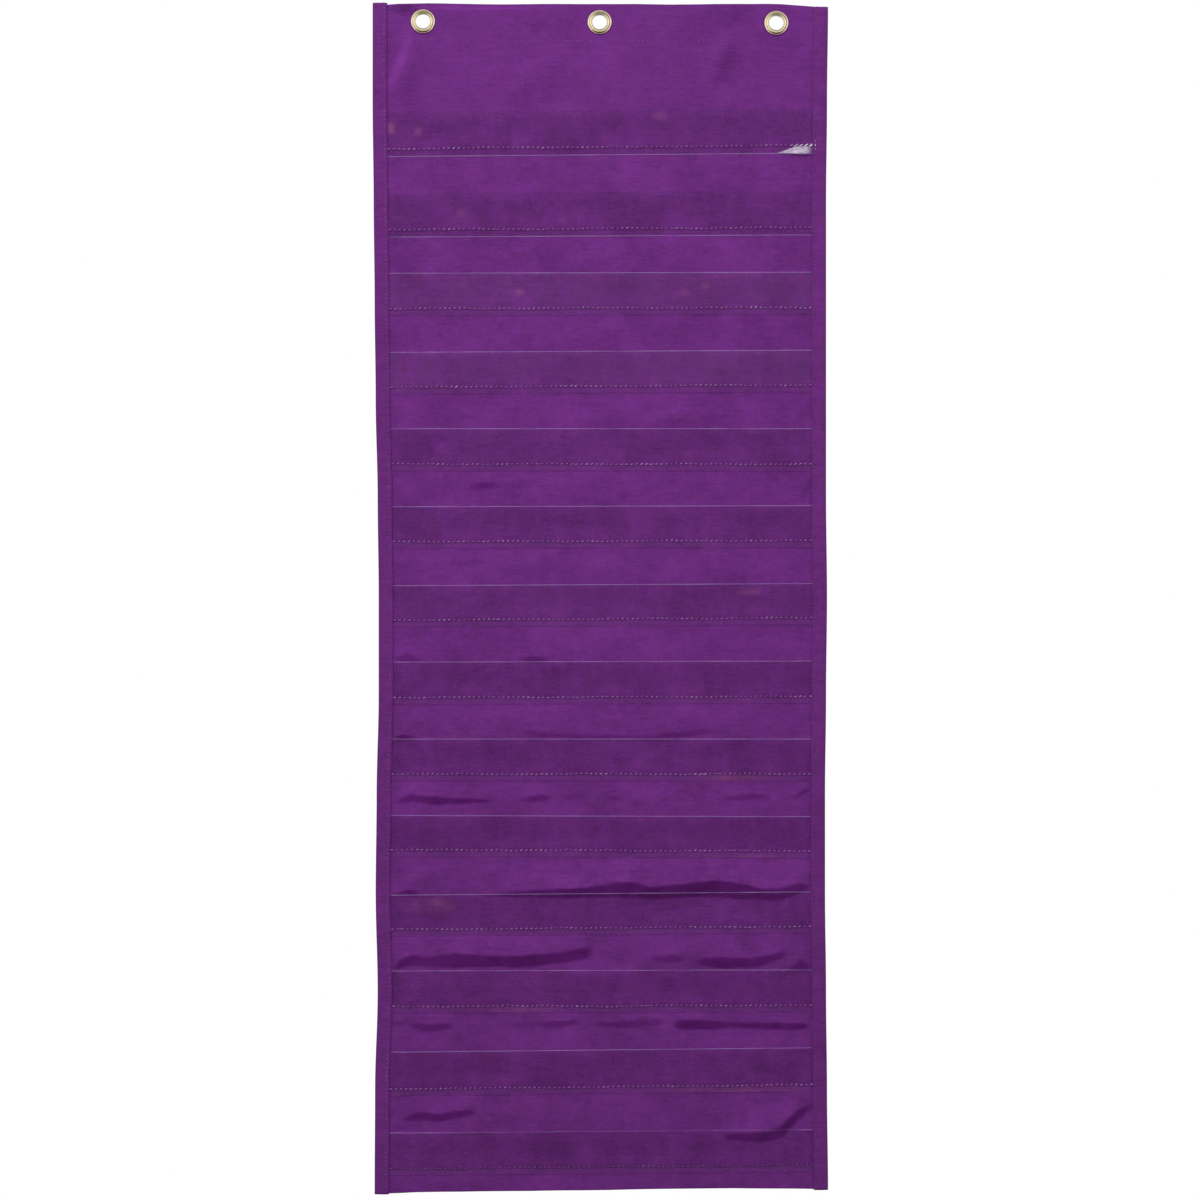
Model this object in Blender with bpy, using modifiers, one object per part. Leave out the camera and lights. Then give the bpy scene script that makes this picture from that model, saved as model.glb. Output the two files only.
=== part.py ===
"""Pocket chart: a purple nylon panel with fourteen clear pocket strips, bound sides and three brass grommets.

Metres, +Z up, +X to the right, the front faces -Y. The origin is the centre of the middle
grommet's hole, which the chart hangs by, and Y = 0 is the middle of the panel's cloth.
"""
import math

import bmesh
import bpy

# Panel of nylon cloth
CHART_WIDTH = 0.3302
PANEL_HEIGHT = 0.8600
CLOTH_THICKNESS = 0.0003
LAYER_GAP = 0.0003
HEADER_FALL = 0.0015
FOOT_RISE = 0.0035

# Hems, turned to the back at the top and at the bottom
HEADER_SEAM_DROP = 0.0261
HEM_TUCK = 0.0029
FOOT_HEM_DEPTH = 0.0190
TURN_STEPS = 3

# Side bindings, tapes folded round the edges of the panel and the ends of the strips
BINDING_WIDTH = 0.0105
BINDING_THICKNESS = 0.0004
BINDING_OVERRUN = 0.0010
BINDING_ROWS = 24
BINDING_TURN_STEPS = 4
SIDE_DRIFT = 0.0044
LEFT_DRIFT_SHARES = (0, 0, 0.17, 0.33, 0.5, 0.83, 1, 1, 0.66, 0.5, 0.83, 0.4, 0.33)
RIGHT_DRIFT_SHARES = (0, 0.17, 0.33, 0.33, 0.33, 0.33, 0.17, 0.33, 0.5, 0.5, 0.33, 0.17, 0)

# Pocket strips of clear vinyl, each sewn along a seam near its lower edge
POCKET_COUNT = 14
FIRST_SEAM_DROP = 0.1035
LAST_SEAM_HEIGHT = 0.0161
STRIP_HEIGHT = 0.0310
SEAM_MARGIN = 0.0053
VINYL_THICKNESS = 0.0003
SEAM_DRIFT = 0.0030
SEAM_DRIFT_SHARES = (0, 0.75, 1, 0.89, 0.77, 0.42, 0.3, 0.19, -0.17, -0.65, -0.88, -1, -0.37, 0)
SEAM_TILT = 0.0035
SEAM_TILT_SHARES = (0.75, 0.5, 0.25, 0.5, 0, 0.25, 0.5, 0.25, 0, -0.25, 0.75, 0.25, 1, 0.75)
MOUTH_DRIFT = 0.0013
MOUTH_DRIFT_SHARES = (1, 0.6, 0.2, -0.1, 0.2, -0.1, -0.4, 0.2, -0.1, -0.4, -0.4, 0.2, 1, 0.2)

# Open mouths: how far a strip bows forward, and over what length it does so from each binding
MOUTH_OPENING = 0.0049
MOUTH_REACH = 0.0480
MOUTH_FLARE_SHARES = ((0, 0), (0.25, 0.32), (0.6, 0.85), (1, 1))
STRIP_RISE_SHARES = (1, 0.75, 0.5, 0.25, 0)

# Folds of the panel: a hollow behind each mouth, and a soft fold across each band between two strips
POCKET_HOLLOW = 0.0019
HOLLOW_FLOOR_SHARE = 0.62
FOLD_RISE = 0.0025
FOLD_COLUMN_SHARES = (0.16, 0.38, 0.62, 0.84)
FOLD_CREST_SHARE = 0.45
FOLD_FOOT_SHARE = 0.8
FOLD_FOOT_RISE_SHARE = 0.3
FOLD_SHARES = (
    (0.22, 0.2, 0.2, 0.22),
    (0.2, 0.22, 0.24, 0.2),
    (0.22, 0.24, 0.2, 0.24),
    (0.24, 0.24, 0.22, 0.2),
    (0.25, 0.3, 0.22, 0.22),
    (0.22, 0.22, 0.22, 0.25),
    (0.25, 0.3, 0.2, 0.2),
    (0.3, 0.5, 0.5, 0.35),
    (0.6, 0.6, 0.4, 0.5),
    (0.45, 0.7, 0.9, 1),
    (1, 0.9, 0.6, 0.9),
    (0.7, 0.8, 0.8, 0.9),
    (0.8, 0.4, 0.35, 0.6),
)

# Grommets: a turned eyelet whose barrel is rolled flat over a washer behind the hem
GROMMET_DROP = 0.0127
GROMMET_INSET = 0.0368
HOLE_RADIUS = 0.0053
BARREL_WALL = 0.0006
FLANGE_RADIUS = 0.00895
FLANGE_RISE = 0.0014
FLANGE_SHARES = (
    (0, 0.45),
    (0.1, 0.85),
    (0.28, 1),
    (0.45, 0.86),
    (0.56, 0.6),
    (0.66, 0.66),
    (0.78, 0.8),
    (0.92, 0.62),
    (1, 0.25),
    (0.97, 0),
)
WASHER_THICKNESS = 0.0004
WASHER_ROUND = 0.00012
CLINCH_WIDTH = 0.0015
CLINCH_THICKNESS = 0.0004
CLINCH_ROUND = 0.0002
ROUND_STEPS = 28
WELD_DISTANCE = 0.00001
CUT_OVERRUN = 0.0020

# Layers from front to back, as distances from the middle of the panel's cloth
PANEL_FACE = CLOTH_THICKNESS / 2
STRIP_Y = PANEL_FACE + LAYER_GAP + VINYL_THICKNESS / 2
FRONT_LEAF_Y = STRIP_Y + VINYL_THICKNESS / 2 + LAYER_GAP + BINDING_THICKNESS / 2
HEM_LEAF_Y = PANEL_FACE + LAYER_GAP + CLOTH_THICKNESS / 2
HEM_BACK = HEM_LEAF_Y + CLOTH_THICKNESS / 2
BACK_LEAF_Y = HEM_BACK + LAYER_GAP + BINDING_THICKNESS / 2
BINDING_TURN_RADIUS = (FRONT_LEAF_Y + BACK_LEAF_Y) / 2
EDGE_INSET = BINDING_TURN_RADIUS + BINDING_THICKNESS / 2
HEM_TURN_RADIUS = HEM_LEAF_Y / 2
HEM_TURN_OUTER = HEM_TURN_RADIUS + CLOTH_THICKNESS / 2
FLANGE_SEAT = PANEL_FACE + LAYER_GAP
WASHER_FRONT = HEM_BACK + LAYER_GAP
WASHER_BACK = WASHER_FRONT + WASHER_THICKNESS
CLINCH_FRONT = WASHER_BACK + LAYER_GAP
CLINCH_REAR = CLINCH_FRONT + CLINCH_THICKNESS
BARREL_RADIUS = HOLE_RADIUS + BARREL_WALL

# Heights down the panel, as drops below its top edge at mid-width
TOP_Z = GROMMET_DROP
LAST_SEAM_DROP = PANEL_HEIGHT - LAST_SEAM_HEIGHT
POCKET_PITCH = (LAST_SEAM_DROP - FIRST_SEAM_DROP) / (POCKET_COUNT - 1)
POCKET_DEPTH = STRIP_HEIGHT - SEAM_MARGIN

# Finishes
MATERIALS = {
    "purple_nylon": ((0.150, 0.029, 0.200), 0.52, 0.0, 1.0),
    "purple_binding": ((0.130, 0.027, 0.172), 0.60, 0.0, 1.0),
    "clear_vinyl": ((0.90, 0.88, 0.92), 0.12, 0.0, 0.30),
    "brass": ((0.80, 0.62, 0.30), 0.22, 1.0, 1.0),
}


def clear_scene():
    """Takes out every object that the new file starts with."""
    for old in list(bpy.data.objects):
        bpy.data.objects.remove(old, do_unlink=True)


def new_collection(name):
    """Makes a collection in the scene."""
    collection = bpy.data.collections.new(name)
    bpy.context.scene.collection.children.link(collection)
    return collection


def make_materials():
    """Makes the four finishes: panel cloth, binding cloth, vinyl and brass."""
    made = {}
    for name, (colour, roughness, metallic, alpha) in MATERIALS.items():
        material = bpy.data.materials.new(name)
        material.use_nodes = True
        shader = material.node_tree.nodes["Principled BSDF"]
        shader.inputs["Base Color"].default_value = (*colour, 1)
        shader.inputs["Roughness"].default_value = roughness
        shader.inputs["Metallic"].default_value = metallic
        shader.inputs["Alpha"].default_value = alpha
        material.diffuse_color = (*colour, alpha)
        made[name] = material
    return made


def drift_at(shares, drop):
    """Reads a table of side drifts, evenly spaced down the panel, with eased steps between its values."""
    place = min(max(drop / PANEL_HEIGHT, 0), 1) * (len(shares) - 1)
    lower = min(int(place), len(shares) - 2)
    step = place - lower
    eased = step * step * (3 - 2 * step)
    return SIDE_DRIFT * (shares[lower] + (shares[lower + 1] - shares[lower]) * eased)


def left_edge(drop):
    """X of the chart's left edge at a height."""
    return -CHART_WIDTH / 2 + drift_at(LEFT_DRIFT_SHARES, drop)


def right_edge(drop):
    """X of the chart's right edge at a height."""
    return CHART_WIDTH / 2 - drift_at(RIGHT_DRIFT_SHARES, drop)


def height_at(drop, tilt, x):
    """Z of a line across the chart: its drop at mid-width, and how much its right end stands above its left."""
    return TOP_Z - drop + tilt * x / CHART_WIDTH


def seam_drop(pocket):
    """Drop of a pocket's seam, with the drift of the sewing."""
    return FIRST_SEAM_DROP + POCKET_PITCH * pocket + SEAM_DRIFT * SEAM_DRIFT_SHARES[pocket]


def mouth_drop(pocket):
    """Drop of a pocket's mouth."""
    return seam_drop(pocket) - POCKET_DEPTH - MOUTH_DRIFT * MOUTH_DRIFT_SHARES[pocket]


def tab_drop(pocket):
    """Drop of a strip's lower edge."""
    return seam_drop(pocket) + SEAM_MARGIN


def seam_tilt(pocket):
    """Tilt of a pocket's strip across the chart."""
    return SEAM_TILT * SEAM_TILT_SHARES[pocket]


def sheet_piece(name, rows, columns, place, thickness, material, collection):
    """Lays a grid of points by a rule, and thickens the surface into one solid sheet."""
    mesh = bpy.data.meshes.new(name)
    grid = bmesh.new()
    bmesh.ops.create_grid(grid, x_segments=columns - 1, y_segments=rows - 1, size=1)
    for index, vert in enumerate(grid.verts):
        row, column = divmod(index, columns)
        vert.co = place(row, column)
    grid.to_mesh(mesh)
    grid.free()
    mesh.shade_smooth()
    mesh.materials.append(material)
    piece = bpy.data.objects.new(name, mesh)
    collection.objects.link(piece)
    solid = piece.modifiers.new("Thickness", "SOLIDIFY")
    solid.thickness = thickness
    solid.offset = 0
    solid.use_even_offset = True
    return piece


def hem_turn(drop_sign, edge_drop):
    """The rows of one turned hem, from its back leaf round the fold to the panel's face."""
    rows = []
    for step in range(TURN_STEPS + 1):
        angle = math.pi * step / TURN_STEPS
        y = HEM_TURN_RADIUS * (1 + math.cos(angle))
        inward = HEM_TURN_OUTER - HEM_TURN_RADIUS * math.sin(angle)
        rows.append((edge_drop + drop_sign * inward, y))
    return rows


def panel_rows():
    """Every row of the panel as (drop, tilt, base y, y of the fold columns), over one hem and under the other."""
    rows = []
    rows.append((HEADER_SEAM_DROP + HEM_TUCK, -HEADER_FALL, HEM_LEAF_Y, (0, 0, 0, 0)))
    for drop, y in hem_turn(1, 0):
        rows.append((drop, -HEADER_FALL, y, (0, 0, 0, 0)))
    rows.append((HEADER_SEAM_DROP + HEM_TUCK, -HEADER_FALL, 0, (0, 0, 0, 0)))
    for pocket in range(POCKET_COUNT):
        hollow = [POCKET_HOLLOW] * len(FOLD_COLUMN_SHARES)
        floor_drop = mouth_drop(pocket) + (seam_drop(pocket) - mouth_drop(pocket)) * HOLLOW_FLOOR_SHARE
        rows.append((mouth_drop(pocket), seam_tilt(pocket), 0, hollow))
        rows.append((floor_drop, seam_tilt(pocket), 0, hollow))
        rows.append((seam_drop(pocket), seam_tilt(pocket), 0, (0, 0, 0, 0)))
        rows.append((tab_drop(pocket), seam_tilt(pocket), 0, (0, 0, 0, 0)))
        if pocket + 1 < POCKET_COUNT:
            band = mouth_drop(pocket + 1) - tab_drop(pocket)
            turn = seam_tilt(pocket + 1) - seam_tilt(pocket)
            for place, rise in ((FOLD_CREST_SHARE, 1), (FOLD_FOOT_SHARE, FOLD_FOOT_RISE_SHARE)):
                folds = [-FOLD_RISE * rise * share for share in FOLD_SHARES[pocket]]
                rows.append((tab_drop(pocket) + band * place, seam_tilt(pocket) + turn * place, 0, folds))
    for drop, y in reversed(hem_turn(-1, PANEL_HEIGHT)):
        rows.append((drop, FOOT_RISE, y, (0, 0, 0, 0)))
    rows.append((PANEL_HEIGHT - FOOT_HEM_DEPTH, FOOT_RISE, HEM_LEAF_Y, (0, 0, 0, 0)))
    return rows


def make_panel(material, collection):
    """The backing panel, one length of cloth with both of its hems."""
    rows = panel_rows()
    columns = len(FOLD_COLUMN_SHARES) + 4

    def place(row, column):
        drop, tilt, base, folds = rows[row]
        left = left_edge(drop) + EDGE_INSET
        right = right_edge(drop) - EDGE_INSET
        cover = BINDING_WIDTH - EDGE_INSET
        across = [left, left + cover]
        across.extend(left + (right - left) * share for share in FOLD_COLUMN_SHARES)
        across.extend((right - cover, right))
        forward = [0, 0, *folds, 0, 0]
        x = across[column]
        return (x, base + forward[column], height_at(drop, tilt, x))

    return sheet_piece("backing_panel", len(rows), columns, place, CLOTH_THICKNESS, material, collection)


def make_strip(pocket, material, collection):
    """One clear strip: flat below and at its seam, bowed forward towards its open mouth."""
    seam = seam_drop(pocket)
    mouth = mouth_drop(pocket)
    drops = [seam - (seam - mouth) * share for share in STRIP_RISE_SHARES]
    drops.append(tab_drop(pocket))
    rises = [1 - (1 - share) ** 2 for share in STRIP_RISE_SHARES]
    rises.append(0)
    flare_count = len(MOUTH_FLARE_SHARES)

    def place(row, column):
        left = left_edge(drops[row]) + EDGE_INSET
        right = right_edge(drops[row]) - EDGE_INSET
        cover = BINDING_WIDTH - EDGE_INSET
        across = [left]
        across.extend(left + cover + MOUTH_REACH * reach for reach, flare in MOUTH_FLARE_SHARES)
        across.extend(right - cover - MOUTH_REACH * reach for reach, flare in reversed(MOUTH_FLARE_SHARES))
        across.append(right)
        flares = [flare for reach, flare in MOUTH_FLARE_SHARES]
        flares = [0, *flares, *reversed(flares), 0]
        x = across[column]
        y = -STRIP_Y - MOUTH_OPENING * rises[row] * flares[column]
        return (x, y, height_at(drops[row], seam_tilt(pocket), x))

    name = f"pocket_strip_{pocket + 1:02d}"
    return sheet_piece(name, len(drops), 2 * flare_count + 2, place, VINYL_THICKNESS, material, collection)


def make_binding(name, edge, outward, material, collection):
    """One binding tape, folded round the side of the chart; outward is 1 on the right and -1 on the left."""
    section = [(BINDING_WIDTH, -FRONT_LEAF_Y)]
    middle = (BACK_LEAF_Y - FRONT_LEAF_Y) / 2
    for step in range(BINDING_TURN_STEPS + 1):
        angle = math.pi * step / BINDING_TURN_STEPS
        inward = EDGE_INSET - BINDING_TURN_RADIUS * math.sin(angle)
        section.append((inward, middle - BINDING_TURN_RADIUS * math.cos(angle)))
    section.append((BINDING_WIDTH, BACK_LEAF_Y))
    side = outward * CHART_WIDTH / 2
    top = height_at(0, -HEADER_FALL, side) + BINDING_OVERRUN
    bottom = height_at(PANEL_HEIGHT, FOOT_RISE, side) - BINDING_OVERRUN

    def place(row, column):
        z = top + (bottom - top) * row / BINDING_ROWS
        inward, y = section[column]
        return (edge(TOP_Z - z) - outward * inward, y, z)

    return sheet_piece(name, BINDING_ROWS + 1, len(section), place, BINDING_THICKNESS, material, collection)


def turned_piece(name, profile, x, z, material, collection):
    """Turns a closed profile of (radius, height towards the front) about the grommet's axis."""
    mesh = bpy.data.meshes.new(name)
    points = [(radius, 0, height) for radius, height in profile]
    edges = [(index, (index + 1) % len(points)) for index in range(len(points))]
    mesh.from_pydata(points, edges, [])
    mesh.materials.append(material)
    piece = bpy.data.objects.new(name, mesh)
    piece.rotation_euler = (math.pi / 2, 0, 0)
    piece.location = (x, 0, z)
    collection.objects.link(piece)
    screw = piece.modifiers.new("Turning", "SCREW")
    screw.axis = "Z"
    screw.steps = ROUND_STEPS
    screw.render_steps = ROUND_STEPS
    screw.use_merge_vertices = True
    screw.merge_threshold = WELD_DISTANCE
    screw.use_smooth_shade = True
    return piece


def eyelet_profile():
    """Flange with its ringed crown, barrel through the cloth, and the barrel's end rolled flat."""
    width = FLANGE_RADIUS - HOLE_RADIUS
    profile = [(HOLE_RADIUS + width * out, FLANGE_SEAT + FLANGE_RISE * up) for out, up in FLANGE_SHARES]
    clinch_radius = BARREL_RADIUS + CLINCH_WIDTH
    profile.append((BARREL_RADIUS, FLANGE_SEAT))
    profile.append((BARREL_RADIUS, -CLINCH_FRONT))
    profile.append((clinch_radius, -CLINCH_FRONT))
    profile.append((clinch_radius, CLINCH_ROUND - CLINCH_REAR))
    profile.append((clinch_radius - CLINCH_ROUND, -CLINCH_REAR))
    profile.append((HOLE_RADIUS + CLINCH_ROUND, -CLINCH_REAR))
    profile.append((HOLE_RADIUS, CLINCH_ROUND - CLINCH_REAR))
    return profile


def washer_profile():
    """A flat ring between the hem and the rolled end of the barrel, with eased outer edges."""
    inner = BARREL_RADIUS + LAYER_GAP
    return [
        (inner, -WASHER_FRONT),
        (FLANGE_RADIUS - WASHER_ROUND, -WASHER_FRONT),
        (FLANGE_RADIUS, -WASHER_FRONT - WASHER_ROUND),
        (FLANGE_RADIUS, WASHER_ROUND - WASHER_BACK),
        (FLANGE_RADIUS - WASHER_ROUND, -WASHER_BACK),
        (inner, -WASHER_BACK),
    ]


def cut_hole(panel, name, x, z, collection):
    """Cuts a grommet's hole through the panel and its hem leaf."""
    mesh = bpy.data.meshes.new(name)
    front = FLANGE_SEAT + CUT_OVERRUN
    back = WASHER_FRONT + CUT_OVERRUN
    radius = BARREL_RADIUS + LAYER_GAP
    drum = bmesh.new()
    bmesh.ops.create_cone(
        drum,
        cap_ends=True,
        segments=ROUND_STEPS,
        radius1=radius,
        radius2=radius,
        depth=front + back,
    )
    drum.to_mesh(mesh)
    drum.free()
    cutter = bpy.data.objects.new(name, mesh)
    cutter.rotation_euler = (math.pi / 2, 0, 0)
    cutter.location = (x, (back - front) / 2, z)
    cutter.hide_render = True
    cutter.display_type = "WIRE"
    collection.objects.link(cutter)
    cut = panel.modifiers.new(name, "BOOLEAN")
    cut.operation = "DIFFERENCE"
    cut.solver = "EXACT"
    cut.object = cutter


def main():
    clear_scene()
    parts = new_collection("Pocket chart")
    cutters = new_collection("Cutters")
    made = make_materials()
    panel = make_panel(made["purple_nylon"], parts)
    make_binding("left_binding", left_edge, -1, made["purple_binding"], parts)
    make_binding("right_binding", right_edge, 1, made["purple_binding"], parts)
    for pocket in range(POCKET_COUNT):
        make_strip(pocket, made["clear_vinyl"], parts)
    outer = CHART_WIDTH / 2 - GROMMET_INSET
    for place, x in (("left", -outer), ("center", 0), ("right", outer)):
        z = height_at(GROMMET_DROP, -HEADER_FALL, x)
        turned_piece(f"grommet_{place}", eyelet_profile(), x, z, made["brass"], parts)
        turned_piece(f"washer_{place}", washer_profile(), x, z, made["brass"], parts)
        cut_hole(panel, f"hole_{place}", x, z, cutters)


main()
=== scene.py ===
"""Looks for the pocket chart: nylon, bindings, clear strips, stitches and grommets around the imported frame."""

import math
import random

import bpy
import numpy as np
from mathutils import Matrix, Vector


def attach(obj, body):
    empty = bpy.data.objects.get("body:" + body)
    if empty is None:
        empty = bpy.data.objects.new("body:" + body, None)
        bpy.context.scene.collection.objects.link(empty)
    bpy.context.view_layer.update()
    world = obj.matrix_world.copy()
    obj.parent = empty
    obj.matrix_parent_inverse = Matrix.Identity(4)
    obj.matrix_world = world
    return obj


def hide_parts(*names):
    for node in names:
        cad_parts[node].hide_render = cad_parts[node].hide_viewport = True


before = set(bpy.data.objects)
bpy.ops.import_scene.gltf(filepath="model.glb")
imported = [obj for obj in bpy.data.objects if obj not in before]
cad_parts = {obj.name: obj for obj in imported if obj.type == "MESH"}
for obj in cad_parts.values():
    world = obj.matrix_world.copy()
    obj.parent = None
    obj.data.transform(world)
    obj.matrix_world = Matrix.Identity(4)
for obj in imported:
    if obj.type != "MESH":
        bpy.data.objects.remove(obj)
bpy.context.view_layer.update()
scene = bpy.context.scene

# ---- sizes, in metres, as in the part's source
CHART_WIDTH = 0.3302
PANEL_HEIGHT = 0.8600
TOP_Z = 0.0127
CLOTH = 0.0003
GAP = 0.0003
VINYL = 0.0003
TAPE = 0.0004
HEADER_FALL = 0.0015
FOOT_RISE = 0.0035
HEADER_SEAM_DROP = 0.0261
HEM_TUCK = 0.0029
FOOT_HEM_DEPTH = 0.0190
BINDING_WIDTH = 0.0105
BINDING_OVERRUN = 0.0010
SIDE_DRIFT = 0.0044
LEFT_DRIFT = (0, 0, 0.17, 0.33, 0.5, 0.83, 1, 1, 0.66, 0.5, 0.83, 0.4, 0.33)
RIGHT_DRIFT = (0, 0.17, 0.33, 0.33, 0.33, 0.33, 0.17, 0.33, 0.5, 0.5, 0.33, 0.17, 0)
POCKETS = 14
FIRST_SEAM_DROP = 0.1035
LAST_SEAM_HEIGHT = 0.0161
LAST_SEAM_DROP = PANEL_HEIGHT - LAST_SEAM_HEIGHT
STRIP_HEIGHT = 0.0310
SEAM_MARGIN = 0.0053
SEAM_DRIFT = (0, 0.75, 1, 0.89, 0.77, 0.42, 0.3, 0.19, -0.17, -0.65, -0.88, -1, -0.37, 0)
SEAM_TILT = (0.75, 0.5, 0.25, 0.5, 0, 0.25, 0.5, 0.25, 0, -0.25, 0.75, 0.25, 1, 0.75)
MOUTH_DRIFT = (1, 0.6, 0.2, -0.1, 0.2, -0.1, -0.4, 0.2, -0.1, -0.4, -0.4, 0.2, 1, 0.2)
MOUTH_OPENING = 0.0049
MOUTH_REACH = 0.0480
POCKET_HOLLOW = 0.0019
HOLLOW_FLOOR_SHARE = 0.62
FOLD_RISE = 0.0025
FOLD_COLUMNS = (0, 0.16, 0.38, 0.62, 0.84, 1)
FOLDS = (
    (0.22, 0.2, 0.2, 0.22), (0.2, 0.22, 0.24, 0.2), (0.22, 0.24, 0.2, 0.24), (0.24, 0.24, 0.22, 0.2),
    (0.25, 0.3, 0.22, 0.22), (0.22, 0.22, 0.22, 0.25), (0.25, 0.3, 0.2, 0.2), (0.3, 0.5, 0.5, 0.35),
    (0.6, 0.6, 0.4, 0.5), (0.45, 0.7, 0.9, 1), (1, 0.9, 0.6, 0.9), (0.7, 0.8, 0.8, 0.9), (0.8, 0.4, 0.35, 0.6),
)
GROMMET_INSET = 0.0368
HOLE_RADIUS = 0.0053
BARREL_WALL = 0.0006
FLANGE_RADIUS = 0.00895
FLANGE_RISE = 0.0014
GROMMET_DROP = 0.0127
WASHER = 0.0004
CLINCH_WIDTH = 0.0015
CLINCH = 0.0004
# full sizes of the seams' and mouths' drift and of the seams' tilt, whose shares are above
SEAM_SHIFT = 0.0030
MOUTH_SHIFT = 0.0013
TILT_RISE = 0.0035
# how far the hem's flat runs stop short of the turn, and how far the photo's sides lie off the nominal width
TURN_CLEAR = 0.0004
LEFT_SHIFT = 0.00025
RIGHT_SHIFT = 0.00085

PANEL_FACE = CLOTH / 2
STRIP_Y = PANEL_FACE + GAP + VINYL / 2
FRONT_LEAF_Y = STRIP_Y + VINYL / 2 + GAP + TAPE / 2
HEM_LEAF_Y = PANEL_FACE + GAP + CLOTH / 2
HEM_BACK = HEM_LEAF_Y + CLOTH / 2
BACK_LEAF_Y = HEM_BACK + GAP + TAPE / 2
TURN_RADIUS = (FRONT_LEAF_Y + BACK_LEAF_Y) / 2
EDGE_INSET = TURN_RADIUS + TAPE / 2
HEM_TURN = HEM_LEAF_Y / 2
PITCH = (LAST_SEAM_DROP - FIRST_SEAM_DROP) / (POCKETS - 1)

# one photo pixel, where the origin is in the photo, the photo's side in pixels, and the camera's lens and sensor
PIXEL = 0.0007263
PHOTO_X = 599.6
PHOTO_Y = 22.2
PHOTO_SIDE = 1200
LENS, SENSOR = 85, 36
CAMERA_FAR = PHOTO_SIDE * PIXEL * LENS / SENSOR
CAMERA_Z = (PHOTO_Y - PHOTO_SIDE / 2) * PIXEL


def from_photo(px, py):
    """x and z of a photo point."""
    return (px - PHOTO_X) * PIXEL, (PHOTO_Y - py) * PIXEL


def ease(value):
    """Smooth step from 0 to 1."""
    value = np.clip(value, 0, 1)
    return value * value * (3 - 2 * value)


def sine(place, length, phase=0.0):
    """A wave of a given length in metres."""
    return np.sin(place * 2 * math.pi / length + phase)


def smooth_rows(values, passes):
    """Averages neighbours along a line, so that a table's corners are eased."""
    values = np.array(values, float)
    for _ in range(passes):
        padded = np.concatenate(([values[0]], values, [values[-1]]))
        values = (padded[:-2] + 2 * padded[1:-1] + padded[2:]) / 4
    return values


def drift_at(shares, drop):
    place = np.clip(np.asarray(drop, float) / PANEL_HEIGHT, 0, 1) * (len(shares) - 1)
    lower = np.minimum(place.astype(int), len(shares) - 2)
    table = np.array(shares, float)
    return SIDE_DRIFT * (table[lower] + (table[lower + 1] - table[lower]) * ease(place - lower))


def left_edge(drop):
    return -CHART_WIDTH / 2 + LEFT_SHIFT + drift_at(LEFT_DRIFT, drop)


def right_edge(drop):
    return CHART_WIDTH / 2 + RIGHT_SHIFT - drift_at(RIGHT_DRIFT, drop)


def field(drop):
    """x of the two bindings' inner edges, between which the cloth shows."""
    return left_edge(drop) + BINDING_WIDTH, right_edge(drop) - BINDING_WIDTH


def height_at(drop, tilt, x):
    return TOP_Z - drop + tilt * x / CHART_WIDTH


def seam_drop(pocket):
    return FIRST_SEAM_DROP + PITCH * pocket + SEAM_SHIFT * SEAM_DRIFT[pocket]


def mouth_drop(pocket):
    return seam_drop(pocket) - (STRIP_HEIGHT - SEAM_MARGIN) - MOUTH_SHIFT * MOUTH_DRIFT[pocket]


def tab_drop(pocket):
    return seam_drop(pocket) + SEAM_MARGIN


def seam_tilt(pocket):
    return TILT_RISE * SEAM_TILT[pocket]


GROMMETS = [(place, x, height_at(GROMMET_DROP, -HEADER_FALL, x)) for place, x in (
    ("left", -CHART_WIDTH / 2 + GROMMET_INSET), ("center", 0.0), ("right", CHART_WIDTH / 2 - GROMMET_INSET))]

# ---- how the cloth lies, forward in metres
rng = np.random.default_rng(14)
WAVES = []
for _ in range(26):
    length = rng.uniform(0.034, 0.12)
    angle = rng.uniform(-1.25, 1.25)
    reach = 2 * math.pi / length
    WAVES.append((math.cos(angle) * reach, math.sin(angle) * reach, rng.uniform(0, 2 * math.pi), length))


def near_sides(x, z, reach):
    """1 in the field, falling to 0 at the inner edges of the two bindings."""
    left, right = field(TOP_Z - z)
    return ease((x - left) / reach) * ease((right - x) / reach)


def near_grommets(x, z, reach=0.016):
    """1 away from the grommets, 0 under their flanges."""
    share = np.ones_like(x)
    for _, gx, gz in GROMMETS:
        share = share * ease((np.hypot(x - gx, z - gz) - 0.0096) / reach)
    return share


# how far the cloth's two ends lie below straight lines: photo x, pixels downward
TOP_SAG = (
    (386, 0.8), (398, 0.1), (412, -0.3), (428, -0.8), (450, -0.5), (500, -0.3), (556, -0.5), (600, -0.8),
    (636, -1.1), (668, -0.6), (700, -0.6), (732, -1.2), (764, -1.9), (780, -1.6), (796, -0.7), (806, 0.1),
    (814, 0.9),
)
FOOT_SAG = (
    (386, 2.6), (400, 2.2), (416, 1.4), (440, 1.1), (480, 1.2), (528, 1.8), (576, 1.7), (624, 1.0), (688, 0.7),
    (736, 1.0), (768, 1.5), (784, 1.9), (800, 2.4), (814, 2.5),
)


def end_sag(x, z):
    """How far the hems at the two ends lie below straight lines; nothing under the grommets' flanges."""
    drop = TOP_Z - z
    px = PHOTO_X + x / PIXEL
    top = np.interp(px, *zip(*TOP_SAG)) * ease(1 - drop / 0.012)
    foot = np.interp(px, *zip(*FOOT_SAG)) * ease((drop - (PANEL_HEIGHT - 0.0105)) / 0.009)
    return (top * near_grommets(x, z, 0.003) + foot) * PIXEL


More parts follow.
